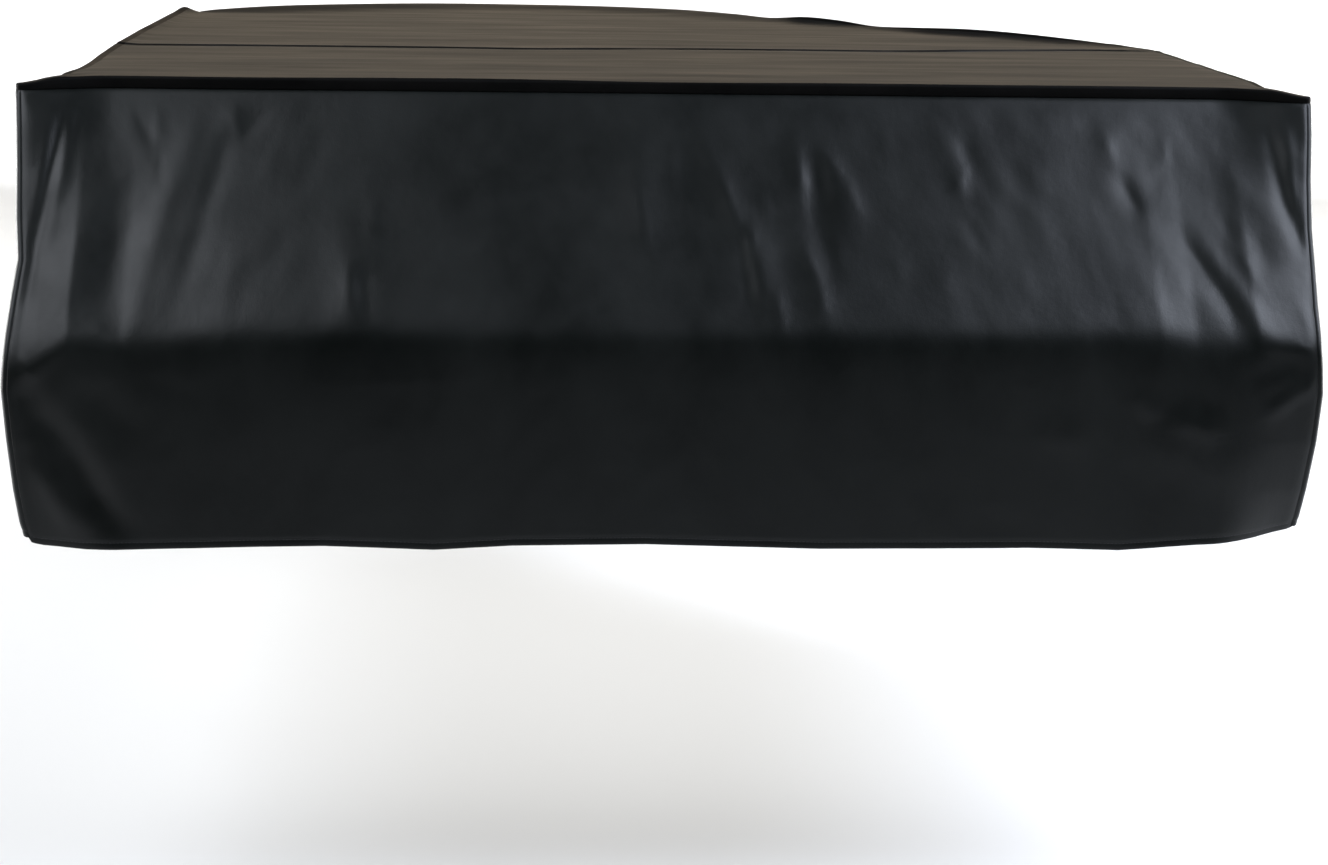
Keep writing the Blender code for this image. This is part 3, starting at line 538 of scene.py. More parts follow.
@dataclass(frozen=True)
class FrontRelief:
    """Small relief of the front skirt between its main folds."""

    rumple: Crumple = Crumple(11, 0.055, 0.075, 0.0011)
    pucker: Crumple = Crumple(23, 0.024, 0.036, 0.0007)
    crease: Crumple = Crumple(31, 0.070, 0.050, 0.0012, True)
    drape: Crumple = Crumple(47, 0.160, 0.260, 0.0016)
    middle: float = 0.25
    more_treble: float = 0.60
    more_bass: float = 0.40
    upright: float = 0.30
    treble_from: float = 0.20
    bass_from: float = -0.30
    side_run: float = 0.20
    above_turn: float = 0.01
    turn_run: float = 0.05
    skew: float = 0.35

    def at(self, shape: FrontShape, x: np.ndarray, z: np.ndarray) -> np.ndarray:
        """Height of the relief.

        Args:
            shape: the skirt that carries it.
            x: places along the width.
            z: heights.

        Returns:
            How far it stands out at each place.
        """
        slant = ease((z - read(BREAK_LINE, 0, 1, x) + self.above_turn) / self.turn_run)
        treble = ease((x - self.treble_from) / self.side_run)
        bass = ease((self.bass_from - x) / self.side_run)
        slanted = self.middle + self.more_treble * treble + self.more_bass * bass
        lively = slant * slanted + (1.0 - slant) * self.upright
        skew = x + self.skew * z * np.sign(x)
        small = (self.rumple.at(skew, z) + self.pucker.at(skew, z)
                 + self.crease.at(skew, z))
        return small * lively + self.drape.at(x, z) + shape.folds(SMALL_FOLDS, x, z)


@dataclass
class SideShape:
    """Shape of the skirts along the treble, bent, tail and bass sides."""

    roll: float = 0.004
    seam_drop: float = 0.0065
    shear_back: float = 0.30
    hem_wave: float = 0.004
    hem_turns: float = 7.0
    front_end: float = 0.02
    front_run: float = 0.10
    flare_power: float = 1.2
    sway_power: float = 1.25
    quiet_top: float = 0.08
    shear_top: float = 0.20
    shear_more: float = 0.55
    shear_drop: float = 0.35
    hem_lift_left: float = 0.005
    hem_lift_right: float = 0.013
    step: float = 0.016
    rumple: Crumple = Crumple(61, 0.070, 0.120, 0.0012)
    pucker: Crumple = Crumple(67, 0.030, 0.045, 0.0006)

    def line(self) -> tuple:
        """Lay the crest line.

        Returns:
            The stations as x, y, crest, flare, band, out x, out y and place, and
            the number of each named row of EDGE.
        """
        rows = np.array([row[1:] for row in EDGE])
        names = [row.name for row in EDGE]
        seams = [names.index(name) for name in
                 ("knob", "cross_seam_left", "cross_seam_right")]
        line, marks = curve_through(rows, self.step, seams)
        ahead = np.vstack((line[1:], line[-1:]))
        back = np.vstack((line[:1], line[:-1]))
        tangent = (ahead - back)[:, :2]
        tangent /= np.linalg.norm(tangent, axis=1)[:, None]
        place = np.concatenate(([0.0], np.cumsum(np.linalg.norm(
            np.diff(line[:, :2], axis=0), axis=1))))
        table = np.column_stack((line, tangent[:, 1], -tangent[:, 0], place))
        return table, dict(zip(names, marks))

    def points(self, table: np.ndarray, knob: int, rows: np.ndarray,
               front: FrontShape) -> np.ndarray:
        """Points of the side skirts.

        Args:
            table: the stations from line().
            knob: number of the station at the knob's seam.
            rows: shares of the drop from the seam to the hem.
            front: the front skirt, which the sides meet at the corners.

        Returns:
            The points, station by station and row by row.
        """
        x, y, crest, flare, _, out_x, out_y, place = (c[:, None] for c in table.T)
        number = np.arange(len(table))[:, None]
        bass = number > knob
        near = ease(1.0 - (y - self.front_end) / self.front_run)
        top = (crest - self.seam_drop) * (1.0 - near) + front.top_z * near
        corner_lift = np.where(bass, self.hem_lift_left, self.hem_lift_right)
        along = np.where(bass, y, place)
        hem = (front.hem_z + self.hem_lift_left * (1.0 - near) + corner_lift * near
               + self.hem_wave * np.sin(self.hem_turns * along) * (1.0 - near))
        share = rows[None, :]
        z = top + (hem - top) * share
        reach = self.roll + flare * share ** self.flare_power
        for on_bass, sways in ((True, BASS_SWAYS), (False, BENT_SWAYS)):
            for row in sways:
                bump = np.exp(-((along - row.centre) / row.width) ** 2)
                swing = bump * (row.top
                                + (row.foot - row.top) * share ** self.sway_power)
                reach = reach + np.where(bass == on_bass, swing, 0.0)
        quiet = (1.0 - near) * ease(share / self.quiet_top)
        where = place + 0.0 * share
        reach = reach + quiet * (self.rumple.at(where, z) + self.pucker.at(where, z))
        px = x + out_x * reach
        py = y + out_y * reach
        for side, mask in (("left", x < 0.0), ("right", x >= 0.0)):
            start = front.plan_y(front.seam_x(side, z), z) + front.lip_depth
            start_top = front.plan_y(front.seam_x(side, top), top) + front.lip_depth
            part = (y - start_top) / (self.shear_back - start_top)
            over = self.shear_top + self.shear_more * ease(share / self.shear_drop)
            blend = 1.0 - ease(part / over)
            mixed = px * (1.0 - blend) + front.corner_x(side, z) * blend
            shear = mask & (y < self.shear_back)
            px = np.where(shear, mixed, px)
            py = np.where(shear, start + (self.shear_back - start) * part, py)
        return np.stack((px, py, z), axis=-1)


@dataclass
class TopShape:
    """Shape of the rolled edge, the raised margin and the flat top."""

    cloth: float = 0.002
    band: float = 0.045
    droop: float = 0.0065
    left_edge: float = -0.757
    right_edge: float = 0.762
    band_steps: tuple = (0.16, 0.36, 0.60, 0.82)
    shoulder_in: float = 0.35
    shoulder_drop: float = 0.0016
    shoulder_lift: float = 0.0005
    knob: tuple = (-0.745, 1.160)
    knob_reach: float = 0.075
    front_centre: tuple = (0.0, 0.275)
    main_centre: tuple = (-0.13, 0.80)
    rings: tuple = (0.996, 0.990, 0.980, 0.965, 0.945, 0.92, 0.89, 0.855, 0.815, 0.77,
                    0.72, 0.665, 0.61, 0.555, 0.50, 0.445, 0.39, 0.335, 0.28, 0.225,
                    0.17, 0.115, 0.06)
    step: float = 0.0024
    step_run: float = 0.0022
    step_fade: float = 0.020
    streak: Crumple = Crumple(71, 0.420, 0.030, 0.00035)
    swell: Crumple = Crumple(73, 0.260, 0.110, 0.0010)
    fine_streak: Crumple = Crumple(79, 0.180, 0.012, 0.00012)

    def relief(self, x: np.ndarray, y: np.ndarray) -> np.ndarray:
        """Height of the streaks, the swells and the step at the cross seam.

        Args:
            x: places along the width.
            y: plan positions.

        Returns:
            The height at each place.
        """
        behind = y - read(CROSS_SEAM, 0, 1, x)
        step = (self.step * ease(0.5 + behind / (2.0 * self.step_run))
                * np.exp(-np.maximum(behind, 0.0) / self.step_fade))
        return (self.streak.at(x, y) + self.swell.at(x, y) + self.fine_streak.at(x, y)
                + self.swell.height * 0.5 + step)

    def crest(self, seam: np.ndarray, out: np.ndarray, height: np.ndarray,
              roll: float) -> np.ndarray:
        """Crest above each seam point, which stands outside it by the roll."""
        return np.column_stack((seam[:, :2] - out * roll, height))

    def column(self, seam: np.ndarray, crest: np.ndarray, inner: np.ndarray) -> np.ndarray:
        """Points from the seam over the rolled edge and the margin to the flat top.

        Args:
            seam: points of the seam.
            crest: points of the crest.
            inner: points where the margin ends.

        Returns:
            The points, station by station, from the seam inward.
        """
        shoulder = self.shoulder_in * crest + (1.0 - self.shoulder_in) * seam
        shoulder[:, 2] = crest[:, 2] - self.shoulder_drop
        parts = [seam]
        for share in self.band_steps:
            parts.append(seam + (shoulder - seam) * share)
        parts.append(shoulder)
        parts.append(0.5 * (shoulder + crest) + np.array((0.0, 0.0, self.shoulder_lift)))
        for row in MARGIN:
            spot = crest + (inner - crest) * row.at
            spot[:, 2] = inner[:, 2] + (crest[:, 2] - inner[:, 2]) * row.value
            parts.append(spot)
        return np.stack(parts, axis=1)


@dataclass(frozen=True)
class CoatedCloth:
    """Finish of the outer face: black coated cloth with a fine leather grain."""

    name: str
    colour: tuple
    haze: tuple
    roughness: float = 0.40
    specular: float = 0.25
    grain: float = 620.0
    streaked: bool = False

    def material(self) -> bpy.types.Material:
        """Build the finish.

        Returns:
            The material.
        """
        material = bpy.data.materials.new(self.name)
        material.use_nodes = True
        tree = material.node_tree
        nodes, links = tree.nodes, tree.links
        shader = nodes["Principled BSDF"]
        shader.inputs["Specular IOR Level"].default_value = self.specular
        place = nodes.new("ShaderNodeTexCoord")
        stretch = nodes.new("ShaderNodeMapping")
        stretch.inputs["Scale"].default_value = (0.12, 1.0, 1.0) if self.streaked else (
            1.0, 1.0, 0.6)
        links.new(place.outputs["Object"], stretch.inputs["Vector"])
        clouds = nodes.new("ShaderNodeTexNoise")
        clouds.inputs["Scale"].default_value = 26.0 if self.streaked else 9.0
        clouds.inputs["Detail"].default_value = 5.0
        clouds.inputs["Roughness"].default_value = 0.62
        links.new(stretch.outputs["Vector"], clouds.inputs["Vector"])
        tone = nodes.new("ShaderNodeValToRGB")
        tone.color_ramp.elements[0].position = 0.32
        tone.color_ramp.elements[0].color = (*self.colour, 1.0)
        tone.color_ramp.elements[1].position = 0.72
        tone.color_ramp.elements[1].color = (*self.haze, 1.0)
        links.new(clouds.outputs["Fac"], tone.inputs["Fac"])
        links.new(tone.outputs["Color"], shader.inputs["Base Color"])
        gloss = nodes.new("ShaderNodeMapRange")
        gloss.inputs["From Min"].default_value = 0.3
        gloss.inputs["From Max"].default_value = 0.75
        gloss.inputs["To Min"].default_value = self.roughness - 0.05
        gloss.inputs["To Max"].default_value = self.roughness + 0.10
        links.new(clouds.outputs["Fac"], gloss.inputs["Value"])
        links.new(gloss.outputs["Result"], shader.inputs["Roughness"])
        pebble = nodes.new("ShaderNodeTexVoronoi")
        pebble.feature = "SMOOTH_F1"
        pebble.inputs["Scale"].default_value = self.grain
        pebble.inputs["Smoothness"].default_value = 0.6
        links.new(place.outputs["Object"], pebble.inputs["Vector"])
        wrinkle = nodes.new("ShaderNodeTexNoise")
        wrinkle.inputs["Scale"].default_value = 95.0
        wrinkle.inputs["Detail"].default_value = 3.0
        links.new(stretch.outputs["Vector"], wrinkle.inputs["Vector"])
        soft = nodes.new("ShaderNodeBump")
        soft.inputs["Strength"].default_value = 0.35
        soft.inputs["Distance"].default_value = 0.0006
        links.new(wrinkle.outputs["Fac"], soft.inputs["Height"])
        fine = nodes.new("ShaderNodeBump")
        fine.inputs["Strength"].default_value = 0.22
        fine.inputs["Distance"].default_value = 0.00025
        fine.invert = True
        links.new(pebble.outputs["Distance"], fine.inputs["Height"])
        links.new(soft.outputs["Normal"], fine.inputs["Normal"])
        links.new(fine.outputs["Normal"], shader.inputs["Normal"])
        return material


@dataclass(frozen=True)
class KnitBacking:
    """Finish of the inner face: thin knitted backing of the coated cloth."""

    name: str = "knit_backing"
    colour: tuple = (0.060, 0.061, 0.063)
    dark: tuple = (0.028, 0.028, 0.030)
    rib: float = 0.0016

    def material(self) -> bpy.types.Material:
        """Build the finish.

        Returns:
            The material.
        """
        material = bpy.data.materials.new(self.name)
        material.use_nodes = True
        nodes, links = material.node_tree.nodes, material.node_tree.links
        shader = nodes["Principled BSDF"]
        shader.inputs["Roughness"].default_value = 0.85
        shader.inputs["Sheen Weight"].default_value = 0.25
        shader.inputs["Sheen Roughness"].default_value = 0.45
        place = nodes.new("ShaderNodeTexCoord")
        cells = nodes.new("ShaderNodeTexVoronoi")
        cells.inputs["Scale"].default_value = 1.0 / self.rib
        cells.inputs["Randomness"].default_value = 0.25
        links.new(place.outputs["Object"], cells.inputs["Vector"])
        tone = nodes.new("ShaderNodeValToRGB")
        tone.color_ramp.elements[0].color = (*self.colour, 1.0)
        tone.color_ramp.elements[1].position = 0.7
        tone.color_ramp.elements[1].color = (*self.dark, 1.0)
        links.new(cells.outputs["Distance"], tone.inputs["Fac"])
        links.new(tone.outputs["Color"], shader.inputs["Base Color"])
        bump = nodes.new("ShaderNodeBump")
        bump.inputs["Strength"].default_value = 0.5
        bump.inputs["Distance"].default_value = 0.0004
        bump.invert = True
        links.new(cells.outputs["Distance"], bump.inputs["Height"])
        links.new(bump.outputs["Normal"], shader.inputs["Normal"])
        return material


@dataclass(frozen=True)
class SeamThread:
    """Finish of the sewing thread."""

    name: str = "black_thread"
    colour: tuple = (0.030, 0.031, 0.033)

    def material(self) -> bpy.types.Material:
        """Build the finish.

        Returns:
            The material.
        """
        material = bpy.data.materials.new(self.name)
        material.use_nodes = True
        nodes, links = material.node_tree.nodes, material.node_tree.links
        shader = nodes["Principled BSDF"]
        shader.inputs["Roughness"].default_value = 0.55
        shader.inputs["Sheen Weight"].default_value = 0.2
        place = nodes.new("ShaderNodeTexCoord")
        twist = nodes.new("ShaderNodeTexNoise")
        twist.inputs["Scale"].default_value = 1400.0
        links.new(place.outputs["Object"], twist.inputs["Vector"])
        tone = nodes.new("ShaderNodeValToRGB")
        tone.color_ramp.elements[0].color = (*(0.6 * c for c in self.colour), 1.0)
        tone.color_ramp.elements[1].color = (*(1.5 * c for c in self.colour), 1.0)
        links.new(twist.outputs["Fac"], tone.inputs["Fac"])
        links.new(tone.outputs["Color"], shader.inputs["Base Color"])
        return material


class Piece(Enum):
    """The sewn pieces, named by the solid that each one stands for."""

    TOP_FRONT = "top_front"
    TOP_MAIN = "top_main"
    FRONT = "skirt_front"
    BASS = "skirt_bass"
    BENTSIDE = "skirt_bentside"


class Cut(NamedTuple):
    """How one piece was cut, before it was sewn and hung."""

    width: float
    length: float
    area: float
    held: str
    rests_on: tuple
    slot: str


@dataclass
class CoverSheet:
    """The whole cover as one sheet of points and the faces of its pieces."""

    front: FrontShape = field(default_factory=FrontShape)
    sides: SideShape = field(default_factory=SideShape)
    top: TopShape = field(default_factory=TopShape)
    relief: FrontRelief = field(default_factory=FrontRelief)
    columns: int = 300
    lip_steps: int = 7
    hem_cloth: float = 0.0036
    hem_share: float = 0.982
    seam_gap: float = 0.00032
    seam_pinch: float = 0.0013
    seam_width: float = 0.0024
    hem_pinch: float = 0.0005
    hem_width: float = 0.0022
    narrow_band: float = 0.06
    edge_rows: int = 4
    row_count: int = 108
    row_gap: float = 0.0022
    extra_rows: tuple = (0.0042, 0.0090, 0.0160, 0.972, 0.976, 0.9798, 0.9840, 0.9875,
                         0.9915, 0.9955, 0.9980)
    extra_columns: tuple = (0.0014, 0.0031, 0.0055, 0.0085)
    column_gap: float = 0.001
    column_ease: float = 0.16
    cross_step: float = 0.009
    thread_gap: float = 0.025
    corner_part: float = 0.06
    corner_in: float = 0.004
    lip_in: float = 0.003
    lip_back: tuple = (0.002, 0.006)
    flank_back: float = 0.012
    flank_slope: float = 0.45
    flank_from: float = 0.005
    flank_to: float = 0.10
    level_from: float = 0.9
    level_run: float = 0.1
    level_rise: float = 0.003
    push_share: float = 0.6
    hem_round: float = 0.0007

    def rows(self) -> np.ndarray:
        """Rows of the skirts, closer together at seam and hem.

        Returns:
            The share of the drop at each row.
        """
        extra = self.extra_rows
        plain = [r for r in np.linspace(0.0, 1.0, self.row_count)
                 if all(abs(r - e) > self.row_gap for e in extra) or r in (0.0, 1.0)]
        return np.array(sorted(plain + list(extra)))

    def shares(self) -> np.ndarray:
        """Columns of the front skirt, closer together at the corners.

        Returns:
            The share of the width at each column.
        """
        extra, gap, bend = self.extra_columns, self.column_gap, self.column_ease
        t = np.linspace(-1.0, 1.0, self.columns)
        eased = 0.5 + 0.5 * ((1.0 + bend) * t - bend * t ** 5)
        plain = [s for s in eased if extra[-1] + gap < s < 1.0 - extra[-1] - gap]
        both = [0.0, 1.0, *extra, *(1.0 - e for e in extra), *plain]
        return np.array(sorted(both))

    def lay(self) -> None:
        """Lay out every point and face of the sheet."""
        rows, shares = self.rows(), self.shares()
        turns = np.linspace(0.0, math.pi / 2.0, self.lip_steps + 1)[1:]
        table, names = self.sides.line()
        front_hem = self.front.hem_z - read(FRONT_HEM, 0, 1, self._hem_x(shares))
        skirts = [self._front_block(shares, front_hem, rows)]
        skirts.append(self._lip_block("right", turns, rows))
        skirts.append(self.sides.points(table, names["knob"], rows, self.front))
        skirts.append(self._lip_block("left", turns[::-1], rows))
        starts = np.cumsum([0] + [len(block) for block in skirts])
        skirt = np.vstack(skirts)
        marks = {name: starts[2] + number for name, number in names.items()}
        margin = self._margin(skirt[:, 0], shares, turns, table, starts)
        count = len(skirt)
        self.points = np.vstack((skirt.reshape(-1, 3), margin[:, 1:].reshape(-1, 3)))
        width = len(rows)
        skirt_ids = np.arange(count * width).reshape(count, width)
        inner = margin.shape[1] - 1
        margin_ids = count * width + np.arange(count * inner).reshape(count, inner)
        margin_ids = np.column_stack((skirt_ids[:, 0], margin_ids))
        self.faces = {piece: [] for piece in Piece}
        right_seam = len(shares) - 1
        knob = marks["knob"]
        spans = {
            Piece.FRONT: np.arange(0, right_seam),
            Piece.BENTSIDE: np.arange(right_seam, knob),
            Piece.BASS: np.arange(knob, count),
        }
        for piece, span in spans.items():
            self._band(piece, skirt_ids[span], skirt_ids[(span + 1) % count], False)
        left, right = marks["cross_seam_left"], marks["cross_seam_right"]
        around = np.arange(count)
        rear = around[(around >= right) & (around < left)]
        fore = around[(around < right) | (around >= left)]
        self._band(Piece.TOP_MAIN, margin_ids[rear], margin_ids[(rear + 1) % count], True)
        self._band(Piece.TOP_FRONT, margin_ids[fore], margin_ids[(fore + 1) % count], True)
        seam_ids = self._cross_seam(margin_ids[left, -1], margin_ids[right, -1])
        fore_loop = [margin_ids[n % count, -1] for n in range(left, count + right + 1)]
        self._patch(Piece.TOP_FRONT, fore_loop + seam_ids[::-1], self.top.front_centre)
        rear_loop = [margin_ids[n, -1] for n in range(right, left + 1)]
        self._patch(Piece.TOP_MAIN, rear_loop + seam_ids, self.top.main_centre)
        self.rolled = self._rolled_edge(margin_ids, table[:, 4], starts)
        self.skirt_ids, self.margin_ids, self.row_shares = skirt_ids, margin_ids, rows
        self.spans, self.marks, self.seam_ids = spans, marks, seam_ids
        self.corner_seams = (0, right_seam)
        self.faces = {piece: np.vstack(parts) for piece, parts in self.faces.items()}

    def _rolled_edge(self, margin: np.ndarray, bands: np.ndarray,
                     starts: np.ndarray) -> set:
        """Number the points of the rolled edge, from the seam to just past the crest.

        Args:
            margin: numbers of the margin's points, station by station.
            bands: width of the margin at each station of the sides.
            starts: where the front, the lips and the sides begin.

        Returns:
            The numbers of the points.
        """
        to_crest = margin.shape[1] - len(MARGIN) + 1
        narrow = np.nonzero(bands < self.narrow_band)[0] + starts[2]
        return {*margin[:, :to_crest].ravel().tolist(),
                *margin[narrow, :to_crest + self.edge_rows].ravel().tolist()}

    def _hem_x(self, shares: np.ndarray) -> np.ndarray:
        """Find the front columns at the hem.

        Args:
            shares: shares of the front columns.

        Returns:
            The place of each column along the width.
        """
        left = self.front.seam_x("left", np.array(self.front.hem_z))
        right = self.front.seam_x("right", np.array(self.front.hem_z))
        return left + (right - left) * shares

    def _front_block(self, shares: np.ndarray, hem: np.ndarray,
                     rows: np.ndarray) -> np.ndarray:
        """Points of the front skirt.

        Args:
            shares: shares of the front columns.
            hem: height of the hem at each column.
            rows: shares of the drop at the rows.

        Returns:
            The points, column by column.
        """
        z = self.front.top_z + (hem[:, None] - self.front.top_z) * rows[None, :]
        return self.front.points(shares[:, None] + 0.0 * z, z, self.relief)

    def _lip_block(self, side: str, turns: np.ndarray, rows: np.ndarray) -> np.ndarray:
        """Points of the rounded lip beside a corner seam.

        Args:
            side: "left" or "right".
            turns: angles of the stations on the lip.
            rows: shares of the drop at the rows.

        Returns:
            The points, station by station.
        """
        lift = self.sides.hem_lift_left if side == "left" else self.sides.hem_lift_right
        hem = self.front.hem_z + lift
        z = self.front.top_z + (hem - self.front.top_z) * rows[None, :]
        z = z + 0.0 * turns[:, None]
        return self.front.lip_points(side, turns[:, None] + 0.0 * z, z)

    def _margin(self, seam: np.ndarray, shares: np.ndarray, turns: np.ndarray,
                table: np.ndarray, starts: np.ndarray) -> np.ndarray:
        """Points of the rolled edge and the margin, station by station.

        Args:
            seam: points of the seam under the edge, all round.
            shares: shares of the front columns.
            turns: angles of the stations on a lip.
            table: stations of the sides.
            starts: where the front, the lips and the sides begin.

        Returns:
            The points of each station from the seam inward.
        """
        top, count = self.top, len(seam)
        out = np.zeros((count, 2))
        height = np.full(count, top.cloth - top.droop)
        inner = np.zeros((count, 3))
        inner[:, 2] = top.cloth
        left, right = top.left_edge + top.band, top.right_edge - top.band
        front = slice(0, starts[1])
        out[front] = (0.0, -1.0)
        near = np.abs(2.0 * shares - 1.0)
        part = (near - (1.0 - self.corner_part)) / self.corner_part
        height[front] = top.cloth - top.droop * ease(part)
        edge_in = self.corner_in
        inner[front, 0] = left + edge_in + (right - left - 2.0 * edge_in) * shares
        inner[front, 1] = top.band
        for side, first, angles, sign in (("right", starts[1], turns, 1.0),
                                          ("left", starts[3], turns[::-1], -1.0)):
            lip = slice(first, first + len(angles))
            part = angles / (math.pi / 2.0)
            out[lip] = np.column_stack((sign * np.sin(angles), -np.cos(angles)))
            edge = right if side == "right" else left
            inner[lip, 0] = edge - sign * (edge_in - self.lip_in * part)
            inner[lip, 1] = top.band + self.lip_back[0] + self.lip_back[1] * part
        flank = slice(starts[2], starts[3])
        out[flank] = table[:, 5:7]
        height[flank] = table[:, 2]
        crest = top.crest(seam, out, height, self.sides.roll)
        way = -table[:, 5:7]
        to_centre = np.array(top.main_centre) - table[:, :2]
        to_centre /= np.linalg.norm(to_centre, axis=1)[:, None]
        gap = np.linalg.norm(table[:, :2] - np.array(top.knob), axis=1)
        turned = np.exp(-(gap / top.knob_reach) ** 2)[:, None]
        way = way * (1.0 - turned) + to_centre * turned
        way /= np.linalg.norm(way, axis=1)[:, None]
        plan = crest[flank, :2] + way * table[:, 4:5]
        by_front = table[:, 1] < self.flank_to
        behind = np.maximum(0.0, table[by_front, 1] - self.flank_from)
        plan[by_front, 0] = np.where(table[by_front, 0] < 0.0, left, right)
        plan[by_front, 1] = top.band + self.flank_back + self.flank_slope * behind
        inner[flank, :2] = plan
        return top.column(seam, crest, inner)

    def _band(self, piece: Piece, here: np.ndarray, ahead: np.ndarray,
              upward: bool) -> None:
        """Add the faces between neighbouring columns to a piece.

        Args:
            piece: the piece.
            here: numbers of the points of each column.
            ahead: numbers of the points of the column after it.
            upward: whether the columns run inward over the top.
        """
        a, b = here[:, :-1].ravel(), here[:, 1:].ravel()
        c, d = ahead[:, 1:].ravel(), ahead[:, :-1].ravel()
        order = (a, d, c, b) if upward else (a, b, c, d)
        self.faces[piece].append(np.column_stack(order))

    def _add(self, points: np.ndarray) -> np.ndarray:
        """Add points to the sheet.

        Args:
            points: the points.

        Returns:
            Their numbers.
        """
        first = len(self.points)
        self.points = np.vstack((self.points, points))
        return np.arange(first, first + len(points))

    def _cross_seam(self, left: int, right: int) -> list:
        """Add the points of the seam across the top.

        Args:
            left: number of the margin's point at its bass end.
            right: number of the margin's point at its treble end.

        Returns:
            The numbers of the points between the ends, from bass to treble.
        """
        ends = self.points[[left, right]]
        rows = [ends[0, :2], *((row.at, row.value) for row in CROSS_SEAM), ends[1, :2]]
        line, _ = curve_through(np.array(rows), self.cross_step, ())
        line = np.column_stack((line, np.full(len(line), self.top.cloth)))
        return list(self._add(line[1:-1]))

    def _patch(self, piece: Piece, loop: list, centre: tuple) -> None:
        """Fill a loop of the flat top with rings that close on its centre.

        Args:
            piece: the piece that gets the faces.
            loop: numbers of the loop's points.
            centre: plan position of the centre.
        """
        middle = np.array((*centre, self.top.cloth))
        outer = np.array(loop)
        edge = self.points[outer]
        for share in self.top.rings:
            ring = self._add(middle + (edge - middle) * share)
            self.faces[piece].append(np.column_stack(
                (outer, np.roll(outer, -1), np.roll(ring, -1), ring)))
            outer = ring
        point = self._add(middle[None, :])[0]
        self.faces[piece].append(np.column_stack(
            (outer, np.roll(outer, -1), np.full(len(outer), point),
             np.full(len(outer), point))))

    def normals(self) -> np.ndarray:
        """Work out the sheet's outward directions.

        Returns:
            The direction at every point.
        """
        total = np.zeros_like(self.points)
        for faces in self.faces.values():
            p = self.points[faces]
            cross = np.cross(p[:, 2] - p[:, 0], p[:, 3] - p[:, 1])
            flat = faces[:, 2] == faces[:, 3]
            cross[flat] = np.cross(p[flat, 1] - p[flat, 0], p[flat, 2] - p[flat, 0])
            for corner in range(4):
                np.add.at(total, faces[:, corner], cross)
        return total / np.maximum(np.linalg.norm(total, axis=1), 1e-12)[:, None]

    def dress(self) -> None:
        """Press in the seams and the hem line, and lay the top's small relief."""
        normals = self.normals()
        ids = np.unique(np.concatenate([self.faces[p].ravel() for p in
                                        (Piece.TOP_FRONT, Piece.TOP_MAIN)]))
        spot = self.points[ids]
        level = ease((normals[ids, 2] - self.level_from) / self.level_run)
        lift = np.zeros(len(self.points))
        level[np.abs(spot[:, 2] - self.top.cloth) > self.level_rise] = 0.0
        lift[ids] = self.top.relief(spot[:, 0], spot[:, 1]) * level
        seams = np.concatenate([
            self.skirt_ids[:, 0], *(self.skirt_ids[n] for n in self.corner_seams),
            self.skirt_ids[self.marks["knob"]], np.array(self.seam_ids),
            self.margin_ids[self.marks["cross_seam_left"]],
            self.margin_ids[self.marks["cross_seam_right"]]])
        lift -= self.seam_pinch * self._near(seams, self.seam_width)
        hem_row = int(np.argmin(np.abs(self.row_shares - self.hem_share)))
        hem = self.skirt_ids[:, hem_row]
        lift -= self.hem_pinch * self._near(hem, self.hem_width)
        self.points = self.points + normals * lift[:, None]
        log.info("sheet dressed, %d points", len(self.points))

    def _near(self, line: np.ndarray, width: float) -> np.ndarray:
        """How close every point is to a line of points, from 0 to 1.

        Args:
            line: numbers of the line's points.
            width: half width of the closeness.

        Returns:
            The closeness of each point.
        """
        spots = self._densify(self.points[line])
        tree = KDTree(len(spots))
        for number, spot in enumerate(spots):
            tree.insert(spot, number)
        tree.balance()
        low, high = spots.min(axis=0) - 0.01, spots.max(axis=0) + 0.01
        inside = np.all((self.points > low) & (self.points < high), axis=1)
        out = np.zeros(len(self.points))
        for number in np.nonzero(inside)[0]:
            distance = tree.find(self.points[number])[2]
            if distance < 3.0 * width:
                out[number] = math.exp(-(distance / width) ** 2)
        return out

    def _densify(self, spots: np.ndarray) -> np.ndarray:
        """Put points halfway between neighbours that are close together.

        Args:
            spots: points along a line.

        Returns:
            The points and the new ones after them.
        """
        middle = 0.5 * (spots[1:] + spots[:-1])
        gap = np.linalg.norm(spots[1:] - spots[:-1], axis=1)
        return np.vstack((spots, middle[gap < self.thread_gap]))

    def _shifts(self, piece: Piece, normals: np.ndarray) -> dict:
        """How far each point on a seam moves in from it.

        Args:
            piece: the piece whose border it is.
            normals: outward direction at every point.

        Returns:
            The move of each border point.
        """
        shared = set()
        for other, faces in self.faces.items():
            if other is not piece:
                shared |= self._border(faces)
        pushes: dict = {}
        for a, b in self._border(self.faces[piece]):
            if (b, a) not in shared:
                continue
            along = self.points[b] - self.points[a]
            inward = np.cross(normals[a] + normals[b], along)
            size = np.linalg.norm(inward)
            if size > 1e-12:
                pushes.setdefault(a, []).append(inward / size)
                pushes.setdefault(b, []).append(inward / size)
        shifts = {}
        for point, ways in pushes.items():
            mean = sum(ways)
            shifts[point] = mean / np.linalg.norm(mean) * self.seam_gap * self.push_share
        return shifts

    @staticmethod
    def _edges(faces: np.ndarray) -> set:
        """Collect the directed edges of some faces.

        Args:
            faces: the faces.

        Returns:
            The edges, as pairs of point numbers.
        """
        out = set()
        for i in range(4):
            a, b = faces[:, i], faces[:, (i + 1) % 4]
            keep = a != b
            out.update(zip(a[keep].tolist(), b[keep].tolist()))
        return out

    def _border(self, faces: np.ndarray) -> set:
        """Directed edges that only one face of the piece has."""
        own = self._edges(faces)
        return {(a, b) for a, b in own if (b, a) not in own}

